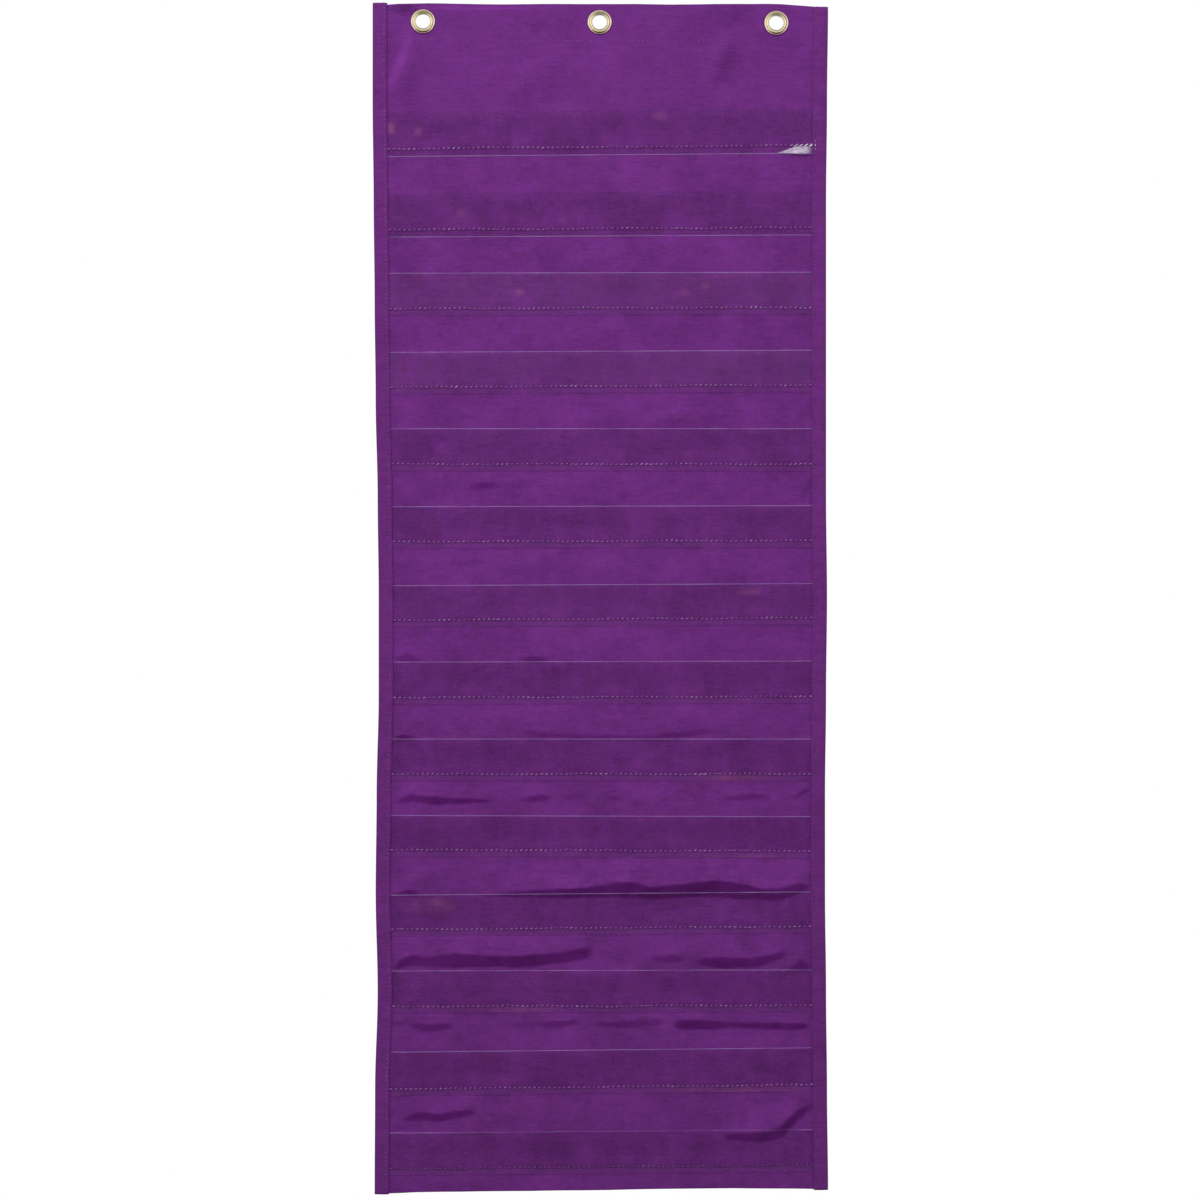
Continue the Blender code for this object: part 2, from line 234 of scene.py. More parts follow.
# soft creases: from one photo point to another; widths before and after the line and rise, in mm
CREASES = (
    (421, 26, 391, 106, 4.0, 8.5, 1.5), (425, 36, 409, 118, 5.0, 9.0, -0.45), (572, 46, 498, 106, 8.0, 12.0, 1.25),
    (636, 38, 598, 104, 8.0, 10.0, 1.2), (597, 38, 574, 70, 7.0, 6.0, -0.7), (733, 34, 706, 98, 6.5, 6.0, 1.25),
    (703, 4, 706, 38, 6.0, 17.0, 0.8), (394, 3, 388, 38, 3.0, 9.0, 1.1), (828, 26, 790, 84, 5.0, 7.0, 0.7),
    (700, 100, 660, 106, 7.0, 6.0, 0.3), (412, 228, 394, 268, 3.4, 6.0, 0.9), (545, 238, 488, 276, 6.0, 8.0, 0.6),
    (612, 240, 566, 276, 6.0, 8.0, 0.6), (700, 244, 664, 276, 6.0, 8.0, 0.45), (416, 320, 396, 352, 5.0, 5.0, 0.6),
    (790, 316, 766, 352, 3.8, 4.0, 0.7), (700, 326, 560, 330, 5.0, 5.0, 0.4), (480, 396, 452, 424, 5.0, 6.0, -0.55),
    (622, 416, 568, 418, 4.0, 6.0, 0.6), (730, 413, 640, 419, 4.0, 6.0, 0.7), (816, 396, 788, 424, 4.0, 6.0, 0.7),
    (575, 470, 548, 500, 6.0, 6.0, 0.5), (760, 474, 700, 500, 8.0, 8.0, 0.6), (818, 470, 796, 500, 4.5, 3.5, 0.9),
    (420, 552, 396, 566, 4.0, 6.0, 0.6), (560, 563, 480, 566, 4.5, 5.0, 0.6), (612, 562, 590, 572, 4.5, 5.0, 0.5),
    (735, 560, 722, 590, 5.0, 6.0, 0.45), (560, 636, 536, 664, 6.0, 5.0, 0.45), (720, 640, 650, 660, 8.0, 8.0, 0.5),
    (430, 712, 398, 732, 5.0, 6.0, 0.6), (590, 712, 470, 718, 6.0, 8.0, 0.5), (700, 708, 662, 726, 6.0, 7.0, 0.5),
    (812, 706, 786, 736, 5.0, 5.0, 0.6), (620, 782, 585, 806, 5.0, 6.0, 0.5), (440, 872, 398, 882, 4.5, 6.0, 0.6),
    (600, 862, 574, 886, 6.0, 6.0, 0.45), (640, 940, 600, 956, 5.0, 6.0, 0.5), (520, 1020, 460, 1030, 5.0, 6.0, 0.5),
    (540, 1106, 480, 1120, 7.0, 7.0, 0.6),
)


def ridge(x, z, crease):
    """One of the soft creases."""
    ax, az = from_photo(*crease[:2])
    bx, bz = from_photo(*crease[2:4])
    before, after, rise = (0.001 * size for size in crease[4:])
    length = math.hypot(bx - ax, bz - az)
    ux, uz = (bx - ax) / length, (bz - az) / length
    along = ((x - ax) * ux + (z - az) * uz) / length
    across = (x - ax) * -uz + (z - az) * ux
    body = ease(along / 0.35 + 0.1) * ease((1 - along) / 0.4 + 0.1)
    return rise * body * np.exp(-((across / np.where(across < 0, before, after)) ** 2))


def waves(x, z):
    """Broad undulation, creases and puckers that panel, strips and stitches share."""
    total = np.zeros_like(x)
    for kx, kz, phase, length in WAVES:
        total += 0.00010 * (length / 0.06) * np.sin(kx * x + kz * z + phase)
    lower = ease((TOP_Z - z - 0.35) / 0.35)
    total = total * (1 + 0.5 * lower) * near_sides(x, z, 0.014) * near_grommets(x, z)
    creased = sum(ridge(x, z, crease) for crease in CREASES)
    total += creased * near_sides(x, z, 0.0035) * near_grommets(x, z, 0.006)
    pucker = 0.00007 * sine(x, 0.0088, 3 * np.sin(x * 41)) + 0.00006 * sine(x, 0.0131, 2 * np.sin(x * 67 + 1))
    close = 0.8 * np.exp(-(((z - height_at(HEADER_SEAM_DROP, -HEADER_FALL, x)) / 0.006) ** 2))
    for pocket in range(POCKETS):
        line = height_at(seam_drop(pocket), seam_tilt(pocket), x)
        close += np.exp(-(((z - line) / 0.0075) ** 2))
    return total + pucker * close * near_sides(x, z, 0.006) * near_grommets(x, z)


# Wrinkles: the upper and the lower edge of each steep underside (x, y, x, y and so on, in photo pixels), its slope,
# and how many pixels the cloth above takes to rise and the cloth below to settle
WRINKLES = (
    ((393, 661, 399, 656, 407, 653, 414, 656, 421, 661), (393, 662, 407, 662.5, 421, 662), 0.5, 16, 20),
    ((522, 658, 530, 656.5, 538, 656.5, 545, 659), (522, 660, 533, 663, 545, 661), 0.5, 16, 20),
    ((466, 487, 474, 484, 484, 481.5, 492, 482, 503, 485), (466, 489, 480, 489, 490, 488, 503, 486.5), 0.52, 16, 24),
    ((500, 485, 520, 484, 548, 485), (500, 487, 520, 487.5, 548, 486.5), 0.25, 14, 20),
    ((417, 564, 430, 561.5, 450, 561, 470, 561.5, 500, 562, 517, 563), (417, 565.5, 450, 564, 480, 564, 517, 564.5),
     0.28, 16, 24),
    ((393, 739, 399, 735.5, 405, 734, 411, 736.5, 418, 739.5), (393, 739.5, 405, 740, 418, 740), 0.8, 16, 20),
    ((519, 738, 524, 731.5, 530, 730, 545, 732, 560, 733.5, 580, 734, 605, 735, 635, 735.5, 655, 734.5, 672, 733,
     690, 730.5, 702, 728.5, 710, 729.5, 717, 732), (519, 738, 524, 734, 530, 735, 545, 736.5, 560, 737.5, 580,
     738.5, 605, 739.5, 640, 741.5, 655, 741.5, 668, 740, 684, 737.5, 697, 735, 708, 733.8, 717, 733), 0.4, 22, 20),
    ((394, 803, 399, 799, 406, 795.5, 414, 794, 424, 796, 436, 797, 450, 798, 465, 798.5, 480, 799, 491, 800), (394,
     804, 402, 803, 412, 801, 424, 803, 436, 804, 455, 803.5, 472, 802.5, 491, 801.5), 0.76, 19, 24),
    ((517, 800, 526, 797, 535, 795.5, 546, 794.5, 552, 797), (517, 801, 527, 802, 537, 802, 552, 799), 0.5, 16, 24),
    ((556, 797, 566, 795, 578, 794.5, 586, 796), (556, 799, 568, 799, 586, 797.5), 0.34, 14, 20),
    ((606, 797, 615, 796, 624, 797), (606, 798, 615, 799.5, 624, 798), 0.42, 14, 20),
    ((712, 798, 730, 797, 744, 794.5, 756, 793.5, 766, 794.5, 772, 797), (712, 799.5, 730, 800, 746, 800, 760, 799,
     772, 798), 0.5, 16, 24),
    ((793, 797, 798, 793.5, 804, 790, 812, 786.5), (793, 798.5, 798, 796.5, 804, 793.5, 812, 789), 0.9, 11, 20),
    ((393, 894.5, 400, 891.5, 407, 889.5, 414, 890.5, 420, 894), (393, 896, 407, 896, 420, 895.5), 0.75, 16, 20),
    ((478, 894.5, 500, 893, 520, 891, 540, 889.5, 560, 888.5, 580, 887.5, 592, 886, 604, 884.5, 616, 882.5, 626, 881,
     634, 881.5, 644, 884.5, 651, 887, 660, 885.8, 675, 884.2, 690, 882.5, 702, 881, 713, 879.3, 722, 880, 733,
     881.8, 748, 884.5, 758, 887.5, 768, 888.3, 779, 888, 789, 885, 798, 882.3, 805, 883.5, 811, 887), (478, 895.5,
     500, 896.5, 540, 897.5, 563, 897.8, 600, 897.2, 628, 897.6, 654, 899.5, 680, 897.5, 705, 895.8, 725, 898, 755,
     900, 783, 900.3, 796, 893.8, 811, 890), 0.8, 26, 24),
    ((392, 970, 396, 964, 402, 958, 412, 954.5, 428, 956.5, 444, 954, 458, 952.5, 476, 954, 496, 955.5, 517, 955.5,
     535, 954, 552, 953.5, 568, 951, 580, 947.5, 588, 946, 593, 953), (392, 971, 398, 968.5, 406, 966, 428, 966.5,
     452, 967.5, 472, 966.5, 494, 966, 517, 967.3, 535, 966.5, 552, 963.5, 570, 961.5, 584, 959, 593, 955), 0.7, 26,
     24),
    ((648, 958, 658, 956, 668, 954.5, 678, 955.5, 688, 958.5), (648, 960, 660, 961.5, 672, 962, 688, 960), 0.42, 19,
     20),
    ((696, 961, 705, 957.5, 722, 956.5, 745, 958, 760, 956.5, 774, 953.5, 785, 951.5, 788, 953), (696, 963, 706, 966,
     722, 968, 750, 967, 768, 964, 780, 958.5, 788, 954), 0.62, 24, 24),
    ((788, 969, 794, 963, 800, 958, 805, 961.5, 812, 967), (788, 970, 794, 970.5, 802, 971, 812, 970), 0.64, 16, 16),
    ((392, 1022, 397, 1020.8, 402, 1022), (392, 1024, 397, 1025, 402, 1024), 0.6, 11, 16),
    ((410, 1025, 420, 1023, 434, 1024.5, 446, 1023, 455, 1022.5), (410, 1027, 424, 1030.5, 438, 1031, 448, 1028.5,
     455, 1025), 0.56, 16, 24),
    ((508, 1024, 520, 1022.5, 538, 1022), (508, 1026, 522, 1027.5, 538, 1026), 0.36, 14, 20),
    ((536, 1023, 546, 1021, 560, 1021, 574, 1020.5, 582, 1020), (536, 1025, 548, 1028.5, 560, 1027.5, 582, 1022.5),
     0.52, 16, 24),
    ((590, 1023, 602, 1021.5, 612, 1022), (590, 1024.5, 602, 1026, 612, 1025), 0.4, 14, 20),
    ((608, 1024, 618, 1021, 632, 1020, 648, 1019, 660, 1018.5, 667, 1021), (608, 1026, 620, 1027, 636, 1027.5, 652,
     1026, 667, 1023), 0.46, 19, 24),
    ((671, 1024, 680, 1020, 696, 1019.5, 712, 1020, 726, 1022, 740, 1022.5, 760, 1022.5, 780, 1022.8, 798, 1023, 810,
     1024), (671, 1026, 682, 1029, 698, 1029.5, 716, 1029, 734, 1027, 752, 1028.3, 772, 1029.3, 792, 1029.8, 804,
     1029, 810, 1026.5), 0.84, 22, 24),
    ((400, 1119, 408, 1116, 416, 1112.3, 427, 1112, 436, 1114.3, 447, 1112, 458, 1110.3, 468, 1109.5, 478, 1109.5),
     (400, 1121, 412, 1121, 424, 1120.5, 437, 1121.5, 450, 1120, 462, 1117.5, 472, 1114, 478, 1111.5), 0.74, 22, 24),
    ((391, 1129, 397, 1126.5, 404, 1126, 411, 1129), (391, 1131, 400, 1131, 411, 1130.5), 0.34, 14, 16),
    ((722, 1134, 740, 1132.5, 756, 1132, 770, 1130, 779, 1125.5, 786, 1119, 794, 1112, 802, 1107, 813, 1102.5), (722,
     1138, 740, 1140.5, 756, 1142, 770, 1142, 780, 1138.5, 788, 1130.5, 796, 1122, 804, 1114.5, 813, 1107), 0.68, 26,
     24),
)


def wrinkles(x, z):
    """The folds over the mouths: each comes forward slowly, falls back steeply, and settles slowly."""
    px = PHOTO_X + x / PIXEL
    py = PHOTO_Y - z / PIXEL
    total = np.zeros_like(x)
    for upper, lower, slope, lead, tail in WRINKLES:
        start, end = upper[0], upper[-2]
        fine = np.linspace(start, end, 160)
        top, low = (smooth_rows(np.interp(fine, edge[0::2], edge[1::2]), 4) for edge in (upper, lower))
        u = np.interp(px, fine, top) + 0.35 * np.sin(px / 3.1 + start) + 0.25 * np.sin(px / 1.9 + 2 * start)
        l = np.interp(px, fine, low) + 0.30 * np.sin(px / 4.3 + end)
        thick = np.maximum(l - u, 0.6)
        taper = min(9.0, 0.25 * (end - start))
        side = ease((px - start + 2.5) / taper) * ease((end + 2.5 - px) / taper)
        patchy = 0.88 + 0.12 * np.sin(px / 6.1 + 2.3 * np.sin(px / 17.0 + start) + end)
        rise = slope * thick * PIXEL * side * patchy
        back = np.minimum(0.5 * rise, 0.0018)
        front = rise - back
        up = np.clip((py - (u - lead)) / lead, 0, 1) ** 1.3
        fall = np.clip((py - (u - 0.5)) / (thick + 1.0), 0, 1)
        body = np.where(py < u - 0.5, up * front, front - fall * rise)
        body = np.where(py > l + 0.5, -back * (1 - ease((py - l - 0.5) / tail)), body)
        total += np.where(side > 0, body, 0)
    return total * near_sides(x, z, 0.0026)


def strip_forward(pocket, x, z):
    """How far forward of the cloth's middle a strip's middle stands at a place."""
    seam = height_at(seam_drop(pocket), seam_tilt(pocket), x)
    mouth = height_at(mouth_drop(pocket), seam_tilt(pocket), x)
    rise = 1 - (1 - np.clip((z - seam) / (mouth - seam), 0, 1)) ** 2
    left, right = field(TOP_Z - z)
    table_x = np.linspace(0, 1.15, 60)
    table = smooth_rows(np.interp(table_x, (0, 0.25, 0.6, 1), (0, 0.32, 0.85, 1)), 5)
    table[0] = 0
    flare = np.interp(np.clip(np.minimum(x - left, right - x) / MOUTH_REACH, 0, 1.15), table_x, table)
    lip = 1 + 0.05 * np.sin(x * 31 + pocket * 1.7) + 0.035 * np.sin(x * 83 + pocket * 2.9)
    return STRIP_Y + MOUTH_OPENING * rise * flare * lip


# ---- mesh helpers
def placed(name, data, location=(0, 0, 0)):
    """A new object in the scene."""
    made = bpy.data.objects.new(name, data)
    made.location = location
    scene.collection.objects.link(made)
    return made


def new_object(name, verts, faces, materials, indices=None, location=(0, 0, 0)):
    mesh = bpy.data.meshes.new(name)
    mesh.from_pydata(np.asarray(verts).tolist(), [], faces if isinstance(faces, list) else faces.tolist())
    for material in materials:
        mesh.materials.append(material)
    if indices is not None:
        mesh.polygons.foreach_set("material_index", np.asarray(indices, np.int32))
    mesh.shade_smooth()
    mesh.update()
    return placed(name, mesh, location)


def grid_faces(rows, columns, loop=False, ring=False):
    """Quads over a grid of points; with loop its columns close up, with ring its rows too."""
    index = np.arange(rows * columns).reshape(rows, columns)
    index = np.pad(index, ((0, int(ring)), (0, int(loop))), mode="wrap")
    return np.stack((index[:-1, :-1], index[:-1, 1:], index[1:, 1:], index[1:, :-1]), -1).reshape(-1, 4)


def thicken(piece, thickness):
    solid = piece.modifiers.new("Thickness", "SOLIDIFY")
    solid.thickness = thickness
    solid.offset = 0
    solid.use_even_offset = True
    return piece


# ---- materials
class Graph:
    """An owner's node tree, emptied, with short calls for filling it."""

    def __init__(self, owner):
        owner.use_nodes = True
        self.owner = owner
        self.tree = owner.node_tree
        self.tree.nodes.clear()
        self.here = self.node("TexCoord").outputs["Object"]

    def node(self, kind, inputs=(), **settings):
        """A node whose inputs, by name or number, are links or plain values."""
        made = self.tree.nodes.new("ShaderNode" + kind)
        for key, value in settings.items():
            setattr(made, key, value)
        for key, value in dict(inputs).items():
            socket = made.inputs[key]
            if isinstance(value, bpy.types.NodeSocket):
                self.tree.links.new(value, socket)
            elif value is not None:
                socket.default_value = (*value, 1) if socket.type == "RGBA" else value
        return made

    def turned(self, turn, scale=(1, 1, 1)):
        """Object coordinates stretched by a scale and turned about Y."""
        return self.node("Mapping", {"Vector": self.here, "Scale": scale, "Rotation": (0, turn, 0)}).outputs[0]

    def noise(self, scale, detail, rough, turn=0.0):
        inputs = {"Vector": self.turned(turn, scale), "Scale": 1, "Detail": detail, "Roughness": rough}
        return self.node("TexNoise", inputs).outputs["Fac"]

    def wave(self, axis, scale, turn=0.0):
        inputs = {"Vector": self.turned(turn), "Scale": scale, "Distortion": 0}
        return self.node("TexWave", inputs, wave_type="BANDS", bands_direction=axis).outputs["Fac"]

    def math(self, operation, *values):
        return self.node("Math", dict(enumerate(values)), operation=operation).outputs[0]

    def chain(self, operation, total, *others):
        for other in others:
            total = self.math(operation, total, other)
        return total

    def times(self, *values):
        return self.chain("MULTIPLY", *values)

    def vector(self, operation, *values):
        return self.node("VectorMath", dict(enumerate(values)), operation=operation).outputs[0]

    def length(self, vector):
        return self.node("VectorMath", {0: vector}, operation="LENGTH").outputs["Value"]

    def split(self, vector):
        return tuple(self.node("SeparateXYZ", {0: vector}).outputs)

    def spread(self, value, low, high, from_low, from_high, kind="LINEAR"):
        """Maps a range onto another and stops at its ends."""
        values = (value, from_low, from_high, low, high)
        return self.node("MapRange", dict(enumerate(values)), interpolation_type=kind).outputs[0]

    def swing(self, noise, size, middle=0.0):
        """A noise's usual range as a change by up to size either way."""
        return self.spread(noise, middle - size, middle + size, 0.3, 0.7)

    def blend(self, factor, first, second):
        return self.node("Mix", {0: factor, 2: first, 3: second}, data_type="FLOAT").outputs[0]

    def mixed(self, factor, first, second, kind="MIX"):
        inputs = {0: factor, 6: first, 7: second}
        return self.node("Mix", inputs, data_type="RGBA", blend_type=kind).outputs[2]

    def scaled(self, colour, factor):
        """A colour made lighter or darker by a factor."""
        grey = self.node("CombineColor", {0: factor, 1: factor, 2: factor}).outputs[0]
        return self.mixed(1, colour, grey, "MULTIPLY")

    def bump(self, height, distance, strength, before=None):
        inputs = {"Height": height, "Distance": distance, "Strength": strength, "Normal": before}
        return self.node("Bump", inputs).outputs["Normal"]

    def patch(self, px, py, wide, high, turn=0.0):
        """1 at a photo point, falling softly to 0 over an ellipse given in photo pixels."""
        x, z = from_photo(px, py)
        inputs = {"Vector": self.vector("SUBTRACT", self.here, (x, 0, z)), "Angle": turn}
        local = self.node("VectorRotate", inputs, rotation_type="Y_AXIS").outputs[0]
        far = self.length(self.vector("MULTIPLY", local, (1 / wide / PIXEL, 0, 1 / high / PIXEL)))
        return self.spread(far, 1, 0, 0.1, 1, "SMOOTHSTEP")

    def finish(self, shader, kind="OutputMaterial"):
        self.node(kind, {"Surface": shader.outputs[0]})
        return self.owner

    def principled(self, inputs):
        return self.finish(self.node("BsdfPrincipled", inputs))


def cloth_material(name, colour, roughness, rib, slub, blotch, calm=1.0):
    """Plain-woven nylon: fine ribs both ways, threads that vary along their length, soft blotches, and painted light
    and shade: listed paler and darker patches, and a darker, purer colour where the surface faces down.

    Above the first strip the blotches are weaker by the factor calm.
    """
    g = Graph(bpy.data.materials.new(name))
    weft = g.noise((160, 160, 950), 4, 0.7)
    warp = g.noise((900, 120, 120), 3, 0.65)
    slubs = g.noise((38, 38, 380), 3, 0.6)
    cloud = g.noise((70, 70, 85), 5, 0.75)
    drape = g.noise((26, 26, 36), 3, 0.55, 0.6)
    mottle = g.math("ADD", g.swing(cloud, blotch), g.swing(drape, 0.9 * blotch))
    mottle = g.times(mottle, g.spread(g.split(g.here)[2], 1, calm, -0.085, -0.055))
    tone = g.chain("ADD", g.swing(weft, slub), g.swing(warp, 0.45 * slub), g.swing(slubs, 0.45 * slub), mottle, 1)
    # painted highlights and painted shade: each listed patch makes the cloth's colour paler or darker
    for *ellipse, gain in PAINTED_LIGHT_MARKS:
        tone = g.math("MULTIPLY_ADD", g.patch(*ellipse), gain, tone)
    red, green, blue = colour
    hue = g.spread(g.noise((75, 75, 130), 3, 0.6, 0.3), 0, 1, 0.25, 0.75)
    tint = g.mixed(hue, (red * 1.04, green * 1.03, blue * 0.955), (red * 0.96, green * 0.99, blue * 1.045))
    # painted shade: the colour turns darker and purer where the surface faces down, away from the light
    facing = g.split(g.node("NewGeometry").outputs["Normal"])[2]
    tint = g.mixed(g.spread(facing, 1, 0, -0.42, -0.10), tint, (red, green * 0.66, blue))
    ribs = g.times(g.wave("Z", 1 / rib / math.pi), g.wave("X", 1.15 / rib / math.pi))
    normal = g.bump(slubs, 0.00022, 0.3, g.bump(weft, 0.00016, 0.4, g.bump(ribs, 0.00004, 0.5)))
    return g.principled({"Base Color": g.scaled(tint, tone), "Roughness": g.swing(cloud, 0.06, roughness),
                         "Specular IOR Level": 0.062, "Normal": normal})


def thread_material(name, colour, pale):
    """Twisted sewing thread with a soft shine, paler on some stitches, and with a painted near-white highlight where
    the first strip's corner glares.
    """
    g = Graph(bpy.data.materials.new(name))
    lit = g.times(g.spread(g.noise((120, 120, 120), 2, 0.6), 0, 1, 0.42, 0.72),
                 g.spread(g.noise((16, 16, 16), 2, 0.5), 0.25, 1, 0.35, 0.65))
    # painted highlight: near-white on the stitches by the first strip's lifted corner
    shine = g.math("MAXIMUM", g.patch(806, 146, 19, 8), g.patch(802, 150, 14, 6))
    return g.principled({"Base Color": g.mixed(shine, g.mixed(lit, colour, pale), (0.98, 0.90, 1.0)),
                         "Roughness": 0.42, "Specular IOR Level": 0.15,
                         "Normal": g.bump(g.wave("X", 2600, 0.7), 0.00005, 0.5)})


def vinyl_material(name, tint, alpha, alpha_swing, roughness, cloud_scale, painted_glare=False):
    """Clear film: a little haze that varies, fine scuffs, a glossy skin that ripples gently, painted warm reflections
    at listed places, and where asked a painted gleam at the first strip's corner.
    """
    g = Graph(bpy.data.materials.new(name))
    haze = g.noise((cloud_scale * 2, cloud_scale * 2, cloud_scale * 0.4), 3, 0.6)
    spots = g.noise((95, 95, 80), 2, 0.5, 0.5)
    fine = g.noise((260, 260, 420), 3, 0.6)
    level = g.math("ADD", g.swing(haze, alpha_swing, alpha), g.swing(fine, 0.3 * alpha_swing))
    colour = g.mixed(g.spread(spots, 0, 1, 0.62, 0.80), tint, (tint[0] + 0.16, tint[1] + 0.07, tint[2] + 0.14))
    if cloud_scale > 40:
        # painted reflections: the film is more opaque and pink over each listed patch
        for *ellipse, strength in PAINTED_REFLECTIONS:
            painted_glow = g.times(g.patch(*ellipse), g.spread(spots, 0.4, 1.3, 0.35, 0.65))
            level = g.math("MULTIPLY_ADD", painted_glow, strength, level)
            colour = g.mixed(painted_glow, colour, (0.50, 0.17, 0.30))
    if painted_glare:
        # painted highlight: a near-white, more opaque wedge at the first strip's lifted corner
        x, _, z = g.split(g.here)
        (left, foot), (right, top) = (from_photo(*corner) for corner in PAINTED_GLEAM)
        slant = g.math("SUBTRACT", g.spread(x, 0, 1, left, right), g.spread(z, 0, 1, foot, top))
        inside = g.times(g.spread(slant, 0, 1, 0.03, 0.20), g.spread(z, 1, 0, top, top + 0.0016),
            g.spread(z, 0, 1, foot - 0.0020, foot - 0.0012), g.spread(fine, 0.60, 1, 0.3, 0.7),
            g.spread(x, 1, 0.40, *(from_photo(px, 0)[0] for px in PAINTED_GLEAM_FADE)))
        level = g.math("MULTIPLY_ADD", inside, 0.50, level)
        colour = g.mixed(inside, colour, (0.88, 0.74, 0.94))
    rough = g.spread(fine, roughness - 0.04, roughness + 0.06, 0.3, 0.7)
    return g.principled({"Base Color": colour, "Alpha": g.math("MAXIMUM", level, 0.01), "Roughness": rough, "IOR": 1.5,
                         "Specular IOR Level": 0.1, "Normal": g.bump(g.noise((55, 55, 90), 2, 0.5), 0.0012, 0.35)})


def brass_material(name, colour, rim_colour, roughness, painted_shade=False):
    """Plated brass: turning marks, painted shade in the groove and round the hole, and a paler rim, on the eyelets
    pink, a painted reflection of the cloth.

    Where asked, it also gets painted shade and dark reflections: duller at the top, most of all just inside the hole,
    brown in the groove's foot, and its groove shows as a darker line on the right.
    """
    g = Graph(bpy.data.materials.new(name))
    stain = g.noise((420, 420, 420), 3, 0.6)
    fine = g.noise((2600, 700, 2600), 2, 0.6)
    x, _, z = g.split(g.here)
    radius = g.length(g.node("CombineXYZ", {0: x, 2: z}).outputs[0])

    def band(inner_low, inner_high, outer_low, outer_high):
        return g.times(g.spread(radius, 0, 1, inner_low, inner_high),
                      g.spread(radius, 1, 0, outer_low, outer_high))

    ramp = g.node("ValToRGB", {0: g.spread(radius, 0, 1, 0.0050, 0.0090)})
    while len(ramp.color_ramp.elements) < len(BRASS_SHADE_TONES):
        ramp.color_ramp.elements.new(0.5)
    for element, (where, value) in zip(ramp.color_ramp.elements, BRASS_SHADE_TONES):
        element.position = where
        element.color = (value, value, value * 0.97, 1)
    tone = g.times(g.spread(stain, 0.88, 1.06, 0.3, 0.7), ramp.outputs[0])
    tint = g.mixed(g.spread(radius, 0, 1, 0.0075, 0.0083), colour, rim_colour)
    # painted shade and dark reflections, placed by direction round the grommet's axis
    if painted_shade:
        height = g.math("DIVIDE", z, radius)
        top = g.times(g.spread(height, 0, 1, 0.60, 0.96), g.spread(radius, 0.62, 0.36, 0.0062, 0.0068))
        foot = g.spread(height, 0, 1, -0.66, -0.96)
        groove = band(0.0070, 0.0075, 0.0082, 0.0087)
        low = g.times(foot, g.math("MULTIPLY_ADD", groove, 0.57, 0.25))
        right = g.spread(g.math("DIVIDE", x, radius), 0, 1, -0.3, 0.4)
        line = g.times(right, band(0.0070, 0.0073, 0.0076, 0.0079), 0.60)
        tone = g.times(tone, g.math("SUBTRACT", 1.0, g.chain("MAXIMUM", top, low, line)))
        tint = g.mixed(g.times(foot, groove), tint, (0.80, 0.46, 0.30))
    rough = g.spread(stain, roughness - 0.05, roughness + 0.07, 0.3, 0.7)
    return g.principled({"Base Color": g.scaled(tint, tone), "Metallic": 1, "Roughness": rough,
                         "Normal": g.bump(fine, 0.00004, 0.4)})


# painted shade and highlight: how bright the brass is from 5 mm (0) to 9 mm (1) off a grommet's axis, darker in the
# groove and round the hole
BRASS_SHADE_TONES = (
    (0.0, 0.76), (0.15, 0.74), (0.21, 0.58), (0.27, 0.58), (0.33, 1.0), (0.5, 1.0), (0.55, 0.68), (0.63, 0.62),
    (0.69, 0.92), (0.85, 1.0), (1.0, 1.0),
)
# painted highlights and painted shade on the cloth, as paler streaks and bands and darker fold-shade patches: photo x,
# y, half width, half height, turn, change
PAINTED_LIGHT_MARKS = (
    (400, 62, 8.0, 44, -0.36, 0.33), (404, 32, 9, 16, -0.5, 0.14), (416, 84, 13, 32, -0.3, -0.09),
    (404, 9, 22, 11, 0.0, -0.4), (478, 8, 95, 3.6, 0.0, 0.3), (728, 62, 19, 33, -0.25, -0.24),
    (716, 42, 10, 15, -0.6, 0.05), (722, 18, 40, 18, 0.0, -0.1), (536, 27, 8, 14, -0.5, -0.09),
    (570, 26, 8, 14, -0.4, -0.07), (588, 47, 11, 9, 0.0, -0.09), (528, 64, 26, 10, 0.4, 0.06),
    (606, 62, 12, 22, -0.5, 0.06), (600, 411, 240, 22, 0.0, 0.06), (600, 602, 240, 24, 0.0, 0.05),
    (822, 420, 15, 520, 0.0, 0.07), (600, 610, 420, 340, 0.0, 0.045),
)
# painted faint warm reflections in the film: photo x, y, half width, half height, strength
PAINTED_REFLECTIONS = (
    (392, 129, 8, 12, 0.055), (418, 131, 8, 10, 0.075), (735, 778, 58, 6, 0.035), (745, 858, 70, 6, 0.045),
    (750, 592, 20, 7, 0.03), (735, 1091, 100, 7, 0.05), (520, 1010, 50, 6, 0.025), (463, 217, 11, 11, 0.045),
    (563, 219, 8, 8, 0.035), (520, 293, 8, 7, 0.04), (684, 293, 9, 7, 0.04), (705, 287, 7, 6, 0.03),
    (660, 118, 12, 7, 0.018), (432, 905, 40, 12, 0.03),
)
# photo corners of the painted gleam, a near-white highlight where the first strip's lower right corner lifts, and where
# it fades
PAINTED_GLEAM = ((773, 153.8), (796, 145.5))
PAINTED_GLEAM_FADE = (806, 811)

NYLON = (0.149, 0.0257, 0.204)
BINDING = (0.142, 0.0253, 0.186)
panel_cloth = cloth_material("panel_cloth", NYLON, 0.52, 0.00042, 0.150, 0.142, calm=0.62)
tape_cloth = cloth_material("tape_cloth", BINDING, 0.58, 0.00050, 0.140, 0.080)
